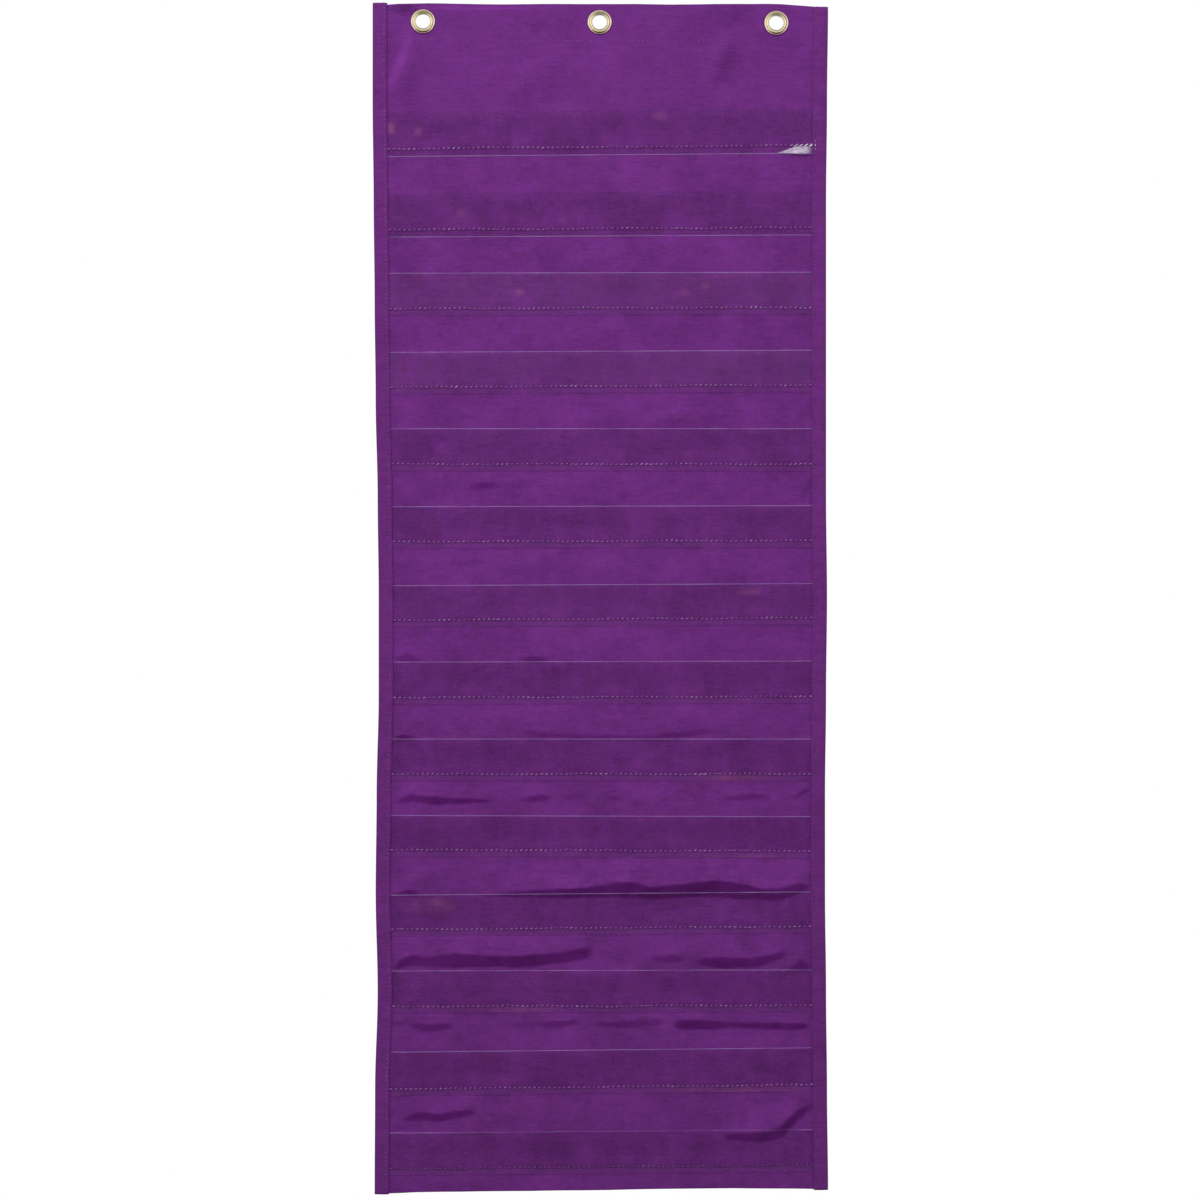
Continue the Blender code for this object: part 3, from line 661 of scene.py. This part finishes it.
# one purple thread in lit and shaded copies: the foot seam's and the right binding's are darker copies, painted shade
# where less light falls; the hem's and left binding's are also darker than the seams'
thread_seam = thread_material("seam_thread", (0.32, 0.090, 0.41), (0.70, 0.37, 0.83))
thread_foot = thread_material("foot_thread", (0.17, 0.05, 0.23), (0.30, 0.14, 0.38))
thread_left = thread_material("left_thread", (0.205, 0.052, 0.285), (0.37, 0.16, 0.47))
thread_right = thread_material("right_thread", (0.15, 0.034, 0.20), (0.25, 0.09, 0.31))
thread_hem = thread_material("hem_thread", (0.18, 0.048, 0.235), (0.28, 0.12, 0.34))
# painted shade: a dark thread colour for the dimples that stand in for the shade in the needle holes
hole_shade_thread = thread_material("needle_hole_shade", (0.070, 0.013, 0.098), (0.095, 0.021, 0.130))
# clear film and paler copies of it that paint light onto the film: the third and fourth strips' film, the other upper
# strips' film, which also holds the painted gleam, and the sewn tabs' film
clear_film = vinyl_material("clear_film", (0.014, 0.006, 0.016), 0.058, 0.030, 0.10, 42)
painted_light_film = vinyl_material("painted_light_film", (0.14, 0.085, 0.16), 0.056, 0.030, 0.10, 42)
painted_gleam_film = vinyl_material("painted_gleam_film", (0.030, 0.022, 0.032), 0.057, 0.030, 0.10, 42, painted_glare=True)
painted_tab_film = vinyl_material("painted_tab_film", (0.16, 0.08, 0.20), 0.050, 0.022, 0.16, 60)
# painted highlight and painted shade along the strips' cut edges: paler, more opaque film where the edges catch light,
# dark film for the shaded tab edges
edge_highlight_film = vinyl_material("film_edge_highlight", (0.62, 0.50, 0.86), 0.132, 0.060, 0.25, 22)
edge_faint_highlight_film = vinyl_material("film_edge_faint_highlight", (0.44, 0.34, 0.58), 0.092, 0.040, 0.25, 20)
edge_shade_film = vinyl_material("film_edge_shade", (0.03, 0.012, 0.035), 0.10, 0.04, 0.25, 12)
brass = brass_material("eyelet_brass", (1.0, 0.905, 0.56), (1.0, 0.79, 0.70), 0.15, painted_shade=True)
washer_brass = brass_material("washer_brass", (0.74, 0.61, 0.32), (0.76, 0.64, 0.36), 0.27)


# ---- the panel
# where a fold's crest lies in its band, and how much of the solid's hollows and folds the cloth here keeps
FOLD_CREST = 0.45
HOLLOW_SHARE = 0.32
FOLD_SHARE = 0.16


def band_shares(kind, share):
    """(hollow, crest) of a row: share is how far down it is between the two lines that its kind names."""
    if kind == "band":
        return 0, ease(share / FOLD_CREST) if share < FOLD_CREST else 1 - ease((share - FOLD_CREST) / (1 - FOLD_CREST))
    if kind == "floor":
        return ease(share), 0
    if kind == "rise":
        return 1 - ease(share), 0
    return 0, 0


def hem_turn(sign, edge_drop, steps=6):
    rows = []
    for step in range(steps + 1):
        angle = math.pi * step / steps
        inward = HEM_TURN + CLOTH / 2 - HEM_TURN * math.sin(angle)
        rows.append((edge_drop + sign * inward, HEM_TURN * (1 + math.cos(angle))))
    return rows


def panel_rows():
    """(drop, tilt, base y, hollow, crest, pocket) of every row, from the top hem's end to the bottom hem's end."""
    rows = []

    def run(first, last, count, kind, pocket, base=0.0, include_last=False):
        for step in range(count + include_last):
            share = step / count
            drop, tilt = (a + (b - a) * share for a, b in zip(first, last))
            rows.append((drop, tilt, base, *band_shares(kind, share), pocket))

    turn = hem_turn(1, 0)
    hem_end = (HEADER_SEAM_DROP + HEM_TUCK, -HEADER_FALL)
    run(hem_end, (turn[0][0] + TURN_CLEAR, -HEADER_FALL), 14, "flat", -1, HEM_LEAF_Y)
    rows += [(drop, -HEADER_FALL, y, 0, 0, -1) for drop, y in turn]
    place = (turn[-1][0] + TURN_CLEAR, -HEADER_FALL)
    for pocket in range(POCKETS):
        tilt = seam_tilt(pocket)
        fine = pocket >= 7
        mouth, seam, tab = mouth_drop(pocket), seam_drop(pocket), tab_drop(pocket)
        floor = mouth + (seam - mouth) * HOLLOW_FLOOR_SHARE
        run(place, (mouth, tilt), 34 if pocket == 0 else (27 if fine else 16), "band", pocket - 1)
        run((mouth, tilt), (floor, tilt), 13 if fine else 9, "floor", pocket)
        run((floor, tilt), (seam, tilt), 8 if fine else 6, "rise", pocket)
        run((seam, tilt), (tab, tilt), 4, "flat", pocket)
        place = (tab, tilt)
    turn = hem_turn(-1, PANEL_HEIGHT)[::-1]
    run(place, (turn[0][0] - TURN_CLEAR, FOOT_RISE), 8, "flat", -1)
    rows += [(drop, FOOT_RISE, y, 0, 0, -1) for drop, y in turn]
    hem_end = (PANEL_HEIGHT - FOOT_HEM_DEPTH, FOOT_RISE)
    run((turn[-1][0] - TURN_CLEAR, FOOT_RISE), hem_end, 10, "flat", -1, HEM_LEAF_Y, True)
    return rows


def cloth_forward(x, z, hollow, crest, pocket):
    """Forward place of the panel's middle at each point of a grid whose rows carry the other shares."""
    left, right = field(TOP_Z - z)
    across = np.clip((x - left) / (right - left), 0, 1)
    sides = ease(across / 0.13) * ease((1 - across) / 0.13)
    total = -POCKET_HOLLOW * HOLLOW_SHARE * hollow * sides
    fine = np.linspace(0, 1, 120)
    for band, shares in enumerate(FOLDS):
        table = smooth_rows(np.interp(fine, FOLD_COLUMNS, (0, *shares, 0)), 60)
        here = (pocket == band) & (crest > 0)
        total += np.where(here, FOLD_SHARE * FOLD_RISE * crest * np.interp(across, fine, table), 0)
    total = np.maximum(total + wrinkles(x, z), -POCKET_HOLLOW)
    for index in range(POCKETS):
        tab = height_at(tab_drop(index), seam_tilt(index), x)
        mouth = height_at(mouth_drop(index), seam_tilt(index), x)
        under = (z < mouth + 0.0006) & (z > tab - 0.0004)
        limit = strip_forward(index, x, z) - STRIP_Y - 0.00004
        total = np.where(under, np.minimum(total, np.maximum(limit, 0)), total)
    return total * near_grommets(x, z, 0.008) + waves(x, z)


def across_chart(drops, columns):
    """x of a grid with a row at each drop, from one side's fold to the other's."""
    left = left_edge(drops) + EDGE_INSET
    return left + (right_edge(drops) - EDGE_INSET - left) * np.linspace(0, 1, columns)[None, :]


def make_panel(columns=156):
    rows = panel_rows()
    drop, tilt, base, hollow, crest, pocket = (np.array(column, float)[:, None] for column in zip(*rows))
    x = across_chart(drop, columns)
    z = height_at(drop, tilt, x)
    one = np.ones_like(x)
    y = base * one - cloth_forward(x, z, hollow * one, crest * one, pocket * one)
    verts = np.stack((x, y, z - end_sag(x, z)), -1).reshape(-1, 3)
    faces = grid_faces(len(rows), columns)
    # the cloth is cut away round each barrel, and the cut's rim drawn in to a circle
    cut = BARREL_WALL + HOLE_RADIUS + 0.0004
    inside = np.zeros(len(verts), bool)
    for _, gx, gz in GROMMETS:
        inside |= np.hypot(verts[:, 0] - gx, verts[:, 2] - gz) < cut
    faces = faces[~inside[faces].any(1)]
    for _, gx, gz in GROMMETS:
        far = np.hypot(verts[:, 0] - gx, verts[:, 2] - gz)
        rim = (far >= cut) & (far < cut + 0.0017)
        scale = (cut + 0.25 * (far[rim] - cut)) / far[rim]
        verts[rim, 0] = gx + (verts[rim, 0] - gx) * scale
        verts[rim, 2] = gz + (verts[rim, 2] - gz) * scale
    used = np.unique(faces)
    renumber = np.full(len(verts), -1)
    renumber[used] = np.arange(len(used))
    return thicken(new_object("panel", verts[used], renumber[faces], [panel_cloth]), CLOTH)


# ---- strips
# mouths whose edge catches little light between two shares of their width
DIM_MOUTHS = {13: (0.18, 0.93)}
# how much lower the first two tabs end
TAB_SHIFTS = {0: 0.0006, 1: 0.0003}
# tab corners that curl a little forward: pocket, photo x, reach, lift
LIFTED_TABS = (
    (0, 802, 0.009, 0.0021), (1, 806, 0.006, 0.0006), (4, 808, 0.005, 0.0007), (6, 809, 0.0035, 0.0008),
    (9, 396, 0.004, 0.0007), (9, 806, 0.008, 0.0007), (12, 395, 0.0045, 0.001), (12, 800, 0.01, 0.0007),
)
# slots of a strip's materials: BRIGHT and DIM hold the painted highlight along a cut edge, DARK the painted shade line
# along a tab's edge, SEWN the sewn tab's film
FILM, BRIGHT, DARK, SEWN, DIM = range(5)


def make_strip(pocket, columns=170, band=0.00055):
    seam, mouth = seam_drop(pocket), mouth_drop(pocket)
    tab = tab_drop(pocket) + TAB_SHIFTS.get(pocket, 0.0)
    drops = np.array([
        mouth, mouth + band * 0.5, *np.linspace(mouth + band, seam, 16), *np.linspace(seam, tab - band, 5)[1:],
        tab - band * 0.5, tab])[:, None]
    x = across_chart(drops, columns)
    z = height_at(drops, seam_tilt(pocket), x)
    y = -strip_forward(pocket, x, z) - waves(x, z)
    # the mouth stands forward, so it is set a little nearer to the middle height to look as photographed
    z = z + (z - CAMERA_Z) * (y + STRIP_Y) / CAMERA_FAR
    for corner_pocket, px, reach, lift in LIFTED_TABS:
        if corner_pocket == pocket:
            near = np.exp(-(((x - from_photo(px, 0)[0]) / reach) ** 2))
            curl = lift * near * ease((drops - seam - 0.0006) / (tab - seam)) * near_sides(x, z, 0.0016)
            y = y - curl
            z = z - 0.35 * curl
    row = np.repeat(np.arange(len(drops) - 1), columns - 1)
    column = np.tile(np.arange(columns - 1), len(drops) - 1)
    top, bottom, below = (FILM, BRIGHT, FILM) if pocket < 2 else (BRIGHT, DARK, SEWN)
    if pocket in DIM_MOUTHS:
        first, last = (share * columns for share in DIM_MOUTHS[pocket])
        top = np.where((column > first) & (column < last), DIM, BRIGHT)
    sewn_row = int(np.searchsorted(drops[:, 0], seam + 0.0004))
    index = np.where(row < 2, top, np.where(row >= len(drops) - 3, bottom, np.where(row >= sewn_row - 1, below, FILM)))
    film = painted_light_film if pocket in (2, 3) else (painted_gleam_film if pocket < 7 else clear_film)
    return thicken(new_object(
        f"clear_strip_{pocket + 1:02d}", np.stack((x, y, z), -1).reshape(-1, 3), grid_faces(len(drops), columns),
        [film, edge_highlight_film, edge_shade_film, painted_tab_film, edge_faint_highlight_film], index), VINYL)


# ---- bindings
# how much lower each tape's top and bottom ends lie than the cloth's corners would set them
TAPE_ENDS = {"left": (0.0006, 0.001), "right": (0.0021, 0.0013)}
# creases of the bindings: photo y, width, depth, slant, side
BINDING_CREASES = (
    (789, 0.0016, 0.00060, 0.9, 1), (798, 0.0050, 0.00045, 0.6, 1), (1017, 0.0016, 0.00045, -0.9, 1),
    (1041, 0.0020, 0.00040, 0.6, 1), (92, 0.0040, 0.00045, 0.5, -1), (1035, 0.0014, 0.00045, 0.2, -1),
    (700, 0.0060, 0.00030, 0.5, -1), (500, 0.0050, 0.00030, -0.4, 1),
)


def tape_lift(z, share, outward):
    """How far the tape stands up between its edge (share 0), its stitches and its fold (share 1)."""
    stitched = 0.24
    lift = 0.00028 * np.sin(math.pi * np.clip((share - stitched) / (1 - stitched), 0, 1))
    lift = lift + 0.00012 * np.sin(math.pi * np.clip(share / stitched, 0, 1))
    ripple = 0.00013 * (1 + sine(z, 0.019, 2.2 * np.sin(z * 47 + outward) + 3 * share))
    ripple = ripple + 0.00010 * (1 + sine(z, 0.0083, 3.0 * np.sin(z * 31 + 2 * outward)))
    lift = lift + ripple * ease(share / 0.3) * ease((1 - share) / 0.25)
    pull = 0.00010 * (1 + sine(z, 0.0034, outward)) * np.exp(-(((share - stitched) / 0.16) ** 2))
    lift = lift - 0.6 * pull * ease(share / 0.1)
    for py, run, depth, slant, side in BINDING_CREASES:
        if side == outward:
            line = z - from_photo(0, py)[1] - slant * (share - 0.5) * 0.008
            lift = lift + depth * np.exp(-((line / run) ** 2)) * ease(share / 0.2)
    return np.maximum(lift, 0)


def make_binding(side, edge, outward, count=520):
    # the section's points: how far in from the chart's edge, y, and the share of the tape's lift with its sign
    leaf = BINDING_WIDTH - EDGE_INSET
    section = [(BINDING_WIDTH - leaf * step / 12, -FRONT_LEAF_Y, -1.0) for step in range(12)]
    for angle in np.linspace(0, math.pi, 13):
        middle = (BACK_LEAF_Y - FRONT_LEAF_Y) / 2
        section.append((EDGE_INSET - TURN_RADIUS * math.sin(angle), middle - TURN_RADIUS * math.cos(angle), 0.0))
    section += [(EDGE_INSET + leaf * step / 8, BACK_LEAF_Y, 0.8) for step in range(1, 9)]
    inward, base, raised = (np.array(column)[None, :] for column in zip(*section))
    side_x = outward * CHART_WIDTH / 2
    top = height_at(0, -HEADER_FALL, side_x) + BINDING_OVERRUN - TAPE_ENDS[side][0]
    bottom = height_at(PANEL_HEIGHT, FOOT_RISE, side_x) - BINDING_OVERRUN - TAPE_ENDS[side][1]
    z = np.linspace(top, bottom, count)[:, None]
    y = base + raised * tape_lift(z, np.clip((BINDING_WIDTH - inward) / leaf, 0, 1), outward)
    wobble = 0.00010 * sine(z, 0.023, 1.3 * outward) + 0.00007 * sine(z, 0.0095)
    x = edge(TOP_Z - z) - outward * (inward + wobble * ease((inward - EDGE_INSET) / 0.004))
    verts = np.stack((x, y, z * np.ones_like(x)), -1).reshape(-1, 3)
    faces = grid_faces(count, len(section))
    return thicken(new_object(f"{side}_tape", verts, faces[:, ::-1] if outward > 0 else faces, [tape_cloth]), TAPE)


# ---- stitches
def capsule(length, radius, flat, sides=8):
    """One stitch lying along X, round in section and pointed down at its ends: its points and its faces."""
    # where along it, how wide, and how high its middle line lies
    stations = ((-0.5, 0.30, -0.55), (-0.40, 0.78, -0.12), (-0.2, 1.0, 0.05), (0.0, 1.05, 0.1), (0.2, 1.0, 0.05),
                (0.40, 0.78, -0.12), (0.5, 0.30, -0.55))
    along, wide, lift = (np.array(column)[:, None] for column in zip(*stations))
    turn = np.arange(sides) * 2 * math.pi / sides
    round_y = (np.sin(turn) * wide * flat + lift) * radius
    verts = np.stack((along * length + 0 * turn, round_y, np.cos(turn) * wide * radius), -1).reshape(-1, 3)
    tips = [(at * length, low * radius, 0) for at, _, low in (stations[0], stations[-1])]
    faces = grid_faces(len(stations), sides, loop=True).tolist()
    first, last = len(verts), len(verts) + 1
    for side in range(sides):
        after = (side + 1) % sides
        end = (len(stations) - 1) * sides
        faces += [(after, side, first), (end + side, end + after, last)]
    return np.concatenate((verts, tips)), faces


def stitches(name, places, length, radius, material, hole=None):
    """Joins stitches into one piece. Each place is (x, y, z, angle in the chart's plane, front 1 or back -1, size).

    Where a hole's material is given, each front stitch gets a dark dimple at either end, painted shade in its needle
    hole.
    """
    stitch = capsule(length, radius, 0.8)
    dimple = capsule(0.0009, 0.00030, 0.25)
    verts, faces, kinds = [], [], []

    def add(shape, x, y, z, angle, side, size, kind):
        points, ring = shape
        cos, sin = math.cos(angle), math.sin(angle)
        px = points[:, 0] * cos - points[:, 2] * sin
        pz = points[:, 0] * sin + points[:, 2] * cos
        offset = len(points) * len(verts)
        verts.append(np.stack((x + px * size, y - points[:, 1] * side * size, z + pz * size), -1))
        faces.extend([v + offset for v in face[::side]] for face in ring)
        kinds.extend([kind] * len(ring))

    for x, y, z, angle, side, size in places:
        add(stitch, x, y, z, angle, side, size, 0)
        if hole is not None and side > 0:
            for end in (-0.5, 0.5):
                reach = end * (length + 0.0003) * size
                hx, hz = x + reach * math.cos(angle), z + reach * math.sin(angle)
                add(dimple, hx, y + 0.00010, hz, angle + 0.6, side, size, 1)
    return new_object(name, np.concatenate(verts), faces, [material] if hole is None else [material, hole], kinds)


def waves_at(x, z):
    return float(waves(np.array([x]), np.array([z]))[0])


def along(first, last, step):
    """Even places from one end of a row to the other, about a step apart."""
    count = int(abs(last - first) / step)
    return [first + (last - first) * index / count for index in range(count + 1)]


def seam_places(pocket, dice, step=0.00358):
    """Slanted stitches through strip and panel, front and back, with a knot at each end."""
    places = []
    seam, tilt = seam_drop(pocket), seam_tilt(pocket)
    left, right = field(seam)
    left, right = left + 0.0012, right - 0.0010
    back = HEM_BACK if pocket == POCKETS - 1 else PANEL_FACE
    for x in along(left, right, step):
        x += dice.uniform(-0.00012, 0.00012)
        wander = 0.00022 * math.sin(x * 60 + pocket) + 0.00012 * math.sin(x * 210 + 2 * pocket)
        z = height_at(seam, tilt, x) + wander + dice.uniform(-0.00008, 0.00008)
        shared = waves_at(x, z)
        angle = math.radians(30) + dice.uniform(-0.10, 0.10)
        size = dice.uniform(0.88, 1.08)
        front = -float(strip_forward(pocket, np.array([x]), np.array([z]))[0]) - VINYL / 2 - 0.00006 - shared
        places.append((x, front, z, angle, 1, size))
        places.append((x + step / 2, back + 0.00006 - shared, z, -0.25 * angle, -1, size * 0.95))
    # knots at the two ends
    for x, turn in ((left - 0.0006, 0.5), (right + 0.0005, -0.4), (left + 0.0002, -0.6), (right - 0.0002, 0.9)):
        knot_z = height_at(seam, tilt, x) + 0.0003 * turn
        places.append((x, -STRIP_Y - VINYL / 2 - 0.00016, knot_z, turn, 1, 0.62))
    return places


def side_places(edge, outward, dice, step=0.0031):
    """One row down each binding, front and back."""
    places = []
    side_x = outward * CHART_WIDTH / 2
    top = height_at(0, -HEADER_FALL, side_x) - (0.0020 if outward > 0 else 0.0004)
    bottom = height_at(PANEL_HEIGHT, FOOT_RISE, side_x) + 0.0002
    for z in along(top, bottom, step):
        z += dice.uniform(-0.0001, 0.0001)
        x = edge(TOP_Z - z) - outward * (BINDING_WIDTH - 0.0022 + 0.00018 * math.sin(z * 70))
        angle = math.pi / 2 - outward * 0.10 + dice.uniform(-0.08, 0.08)
        size = dice.uniform(0.9, 1.06)
        places.append((x, -FRONT_LEAF_Y - TAPE / 2 - 0.00018, z, angle, 1, size))
        places.append((x, BACK_LEAF_Y + TAPE / 2 + 0.00012, z - step / 2, angle, -1, size))
    return places


def hem_places(dice, step=0.0034):
    """The row that holds the top hem."""
    places = []
    left, right = field(HEADER_SEAM_DROP)
    for x in along(left + 0.0010, right - 0.0010, step):
        z = height_at(HEADER_SEAM_DROP, -HEADER_FALL, x) + 0.00015 * math.sin(x * 80)
        shared = waves_at(x, z)
        angle = 0.10 + dice.uniform(-0.08, 0.08)
        size = dice.uniform(0.85, 1.05)
        places.append((x, -PANEL_FACE - 0.00002 - shared, z, angle, 1, size))
        places.append((x + step / 2, HEM_BACK + 0.00006 - shared, z, -angle, -1, size))
    return places


# ---- grommets
def turned(name, profile, x, z, material, steps=96):
    """Turns a closed profile of (radius, height towards the front) about a grommet's axis."""
    turn = np.arange(steps) * 2 * math.pi / steps
    radius, height = (np.array(column)[:, None] for column in zip(*profile))
    verts = np.stack((radius * np.cos(turn), -height + 0 * turn, radius * np.sin(turn)), -1).reshape(-1, 3)
    faces = grid_faces(len(profile), steps, loop=True, ring=True)
    return new_object(name, verts, faces, [material], location=(x, 0, z))


def rounded(points):
    """Cuts the corners of a closed outline, so that its edges catch light."""
    made = []
    for here, after in zip(points, points[1:] + points[:1]):
        made += [tuple(a * share + b * (1 - share) for a, b in zip(here, after)) for share in (0.75, 0.25)]
    return made


def eyelet_profile():
    shares = ((0, 0.2), (0, 0.55), (0.06, 0.86), (0.16, 1), (0.30, 1), (0.42, 0.88), (0.50, 0.62), (0.56, 0.50),
              (0.63, 0.52), (0.70, 0.70), (0.78, 0.80), (0.87, 0.74), (0.95, 0.50), (1, 0.22), (0.985, 0.04), (0.93, 0))
    seat = PANEL_FACE + GAP
    width = FLANGE_RADIUS - HOLE_RADIUS
    barrel = HOLE_RADIUS + BARREL_WALL
    outer = barrel + CLINCH_WIDTH
    front = -(HEM_BACK + GAP + WASHER + GAP)
    rear = front - CLINCH
    return rounded([(HOLE_RADIUS + width * out, seat + FLANGE_RISE * up) for out, up in shares] + [
        (barrel + 0.0001, seat), (barrel, seat - 0.0001), (barrel, front + 0.0001), (barrel + 0.0001, front),
        (outer - 0.0001, front), (outer, front - 0.0001), (outer, rear + 0.0002), (outer - 0.0002, rear),
        (HOLE_RADIUS + 0.0002, rear), (HOLE_RADIUS, rear + 0.0002), (HOLE_RADIUS, rear + 0.0006)])


def washer_profile(bevel=0.00012):
    inner = HOLE_RADIUS + BARREL_WALL + GAP
    front = -(HEM_BACK + GAP)
    back = front - WASHER
    return [(inner, front), (FLANGE_RADIUS - bevel, front), (FLANGE_RADIUS, front - bevel),
            (FLANGE_RADIUS, back + bevel), (FLANGE_RADIUS - bevel, back), (inner, back)]


# ---- make everything
def dress(piece, node=None):
    """Hides the solid a piece replaces, if any, and keeps the piece."""
    if node:
        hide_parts(node)
    pieces.append(piece)
    return piece


pieces = []
panel = dress(make_panel(), "backing_panel")
left_tape = dress(make_binding("left", left_edge, -1), "left_binding")
right_tape = dress(make_binding("right", right_edge, 1), "right_binding")
strips = [dress(make_strip(pocket), f"pocket_strip_{pocket + 1:02d}") for pocket in range(POCKETS)]

for pocket in range(POCKETS):
    dress(stitches(f"seam_stitches_{pocket + 1:02d}", seam_places(pocket, random.Random(100 + pocket)), 0.0022, 0.00033,
                   thread_foot if pocket == POCKETS - 1 else thread_seam, hole_shade_thread))
dress(stitches("header_stitches", hem_places(random.Random(7)), 0.0019, 0.00019, thread_hem))
for side, edge, outward, seed, thread in (
        ("left", left_edge, -1, 8, thread_left), ("right", right_edge, 1, 9, thread_right)):
    places = side_places(edge, outward, random.Random(seed))
    dress(stitches(f"{side}_tape_stitches", places, 0.0018, 0.00023, thread, hole_shade_thread))

for place, gx, gz in GROMMETS:
    dress(turned(f"eyelet_{place}", eyelet_profile(), gx, gz, brass), f"grommet_{place}")
    dress(turned(f"ring_{place}", washer_profile(), gx, gz, washer_brass), f"washer_{place}")

for piece in pieces:
    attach(piece, "root")


# ---- floor, light and camera
FLOOR_Z = -1.0


def make_floor(radius=2.6, sides=96):
    """A pale floor below the chart, which fades to plain white away from it."""
    turn = np.arange(sides) * 2 * math.pi / sides
    g = Graph(bpy.data.materials.new("floor_white"))
    path = g.node("LightPath").outputs
    seen = g.chain("MAXIMUM", *(path[f"Is {ray} Ray"] for ray in ("Camera", "Glossy", "Transmission")))
    away = g.times(seen, g.spread(g.length(g.here), 0, 1, 0.10, 0.42))
    grey, pale = (g.node("BsdfDiffuse", {"Color": (tone, tone, tone)}).outputs[0] for tone in (0.34, 0.80))
    white = g.node("Emission", {"Color": (1, 1, 1)}).outputs[0]
    near = g.node("MixShader", {0: seen, 1: grey, 2: pale}).outputs[0]
    material = g.finish(g.node("MixShader", {0: away, 1: near, 2: white}))
    verts = np.stack((radius * np.cos(turn), radius * np.sin(turn), 0 * turn), -1)
    new_object("floor", verts, [list(range(sides))], [material], location=(0, 0, FLOOR_Z))


def make_world():
    """White to the eye; the light itself comes softly from above, and reflections darken upward and downward."""
    world = bpy.data.worlds.new("studio")
    scene.world = world
    g = Graph(world)
    path = g.node("LightPath").outputs
    seen = g.math("MAXIMUM", path["Is Camera Ray"], path["Is Transmission Ray"])
    height = g.split(g.node("TexCoord").outputs["Generated"])[2]
    light = g.spread(height, 0.03, 0.53, -0.25, 0.35, "SMOOTHSTEP")
    shine = g.times(g.spread(height, 1, 0.45, 0.34, 0.75), g.spread(height, 0.20, 1, -0.38, -0.05))
    strength = g.blend(seen, g.blend(path["Is Glossy Ray"], light, shine), 1.0)
    g.finish(g.node("Background", {"Color": (1, 1, 1), "Strength": strength}), "OutputWorld")


def make_light():
    lamp = bpy.data.lights.new("key", "AREA")
    lamp.shape = "RECTANGLE"
    lamp.size = 1.1
    lamp.size_y = 0.8
    lamp.energy = 28.0
    key = placed("key", lamp, (-0.27, -1.50, 0.88))
    key.rotation_euler = (Vector((0, 0, -0.62)) - key.location).to_track_quat("-Z", "Y").to_euler()
    key.visible_glossy = False


def make_camera():
    data = bpy.data.cameras.new("camera")
    data.lens = LENS
    data.sensor_width = SENSOR
    data.clip_start = 0.01
    data.clip_end = 30
    camera = placed("camera", data, ((PHOTO_SIDE / 2 - PHOTO_X) * PIXEL, -CAMERA_FAR, CAMERA_Z))
    camera.rotation_euler = (math.pi / 2, 0, 0)
    scene.camera = camera


make_floor()
make_world()
make_light()
make_camera()
scene.view_settings.view_transform = "Standard"

bpy.context.view_layer.update()
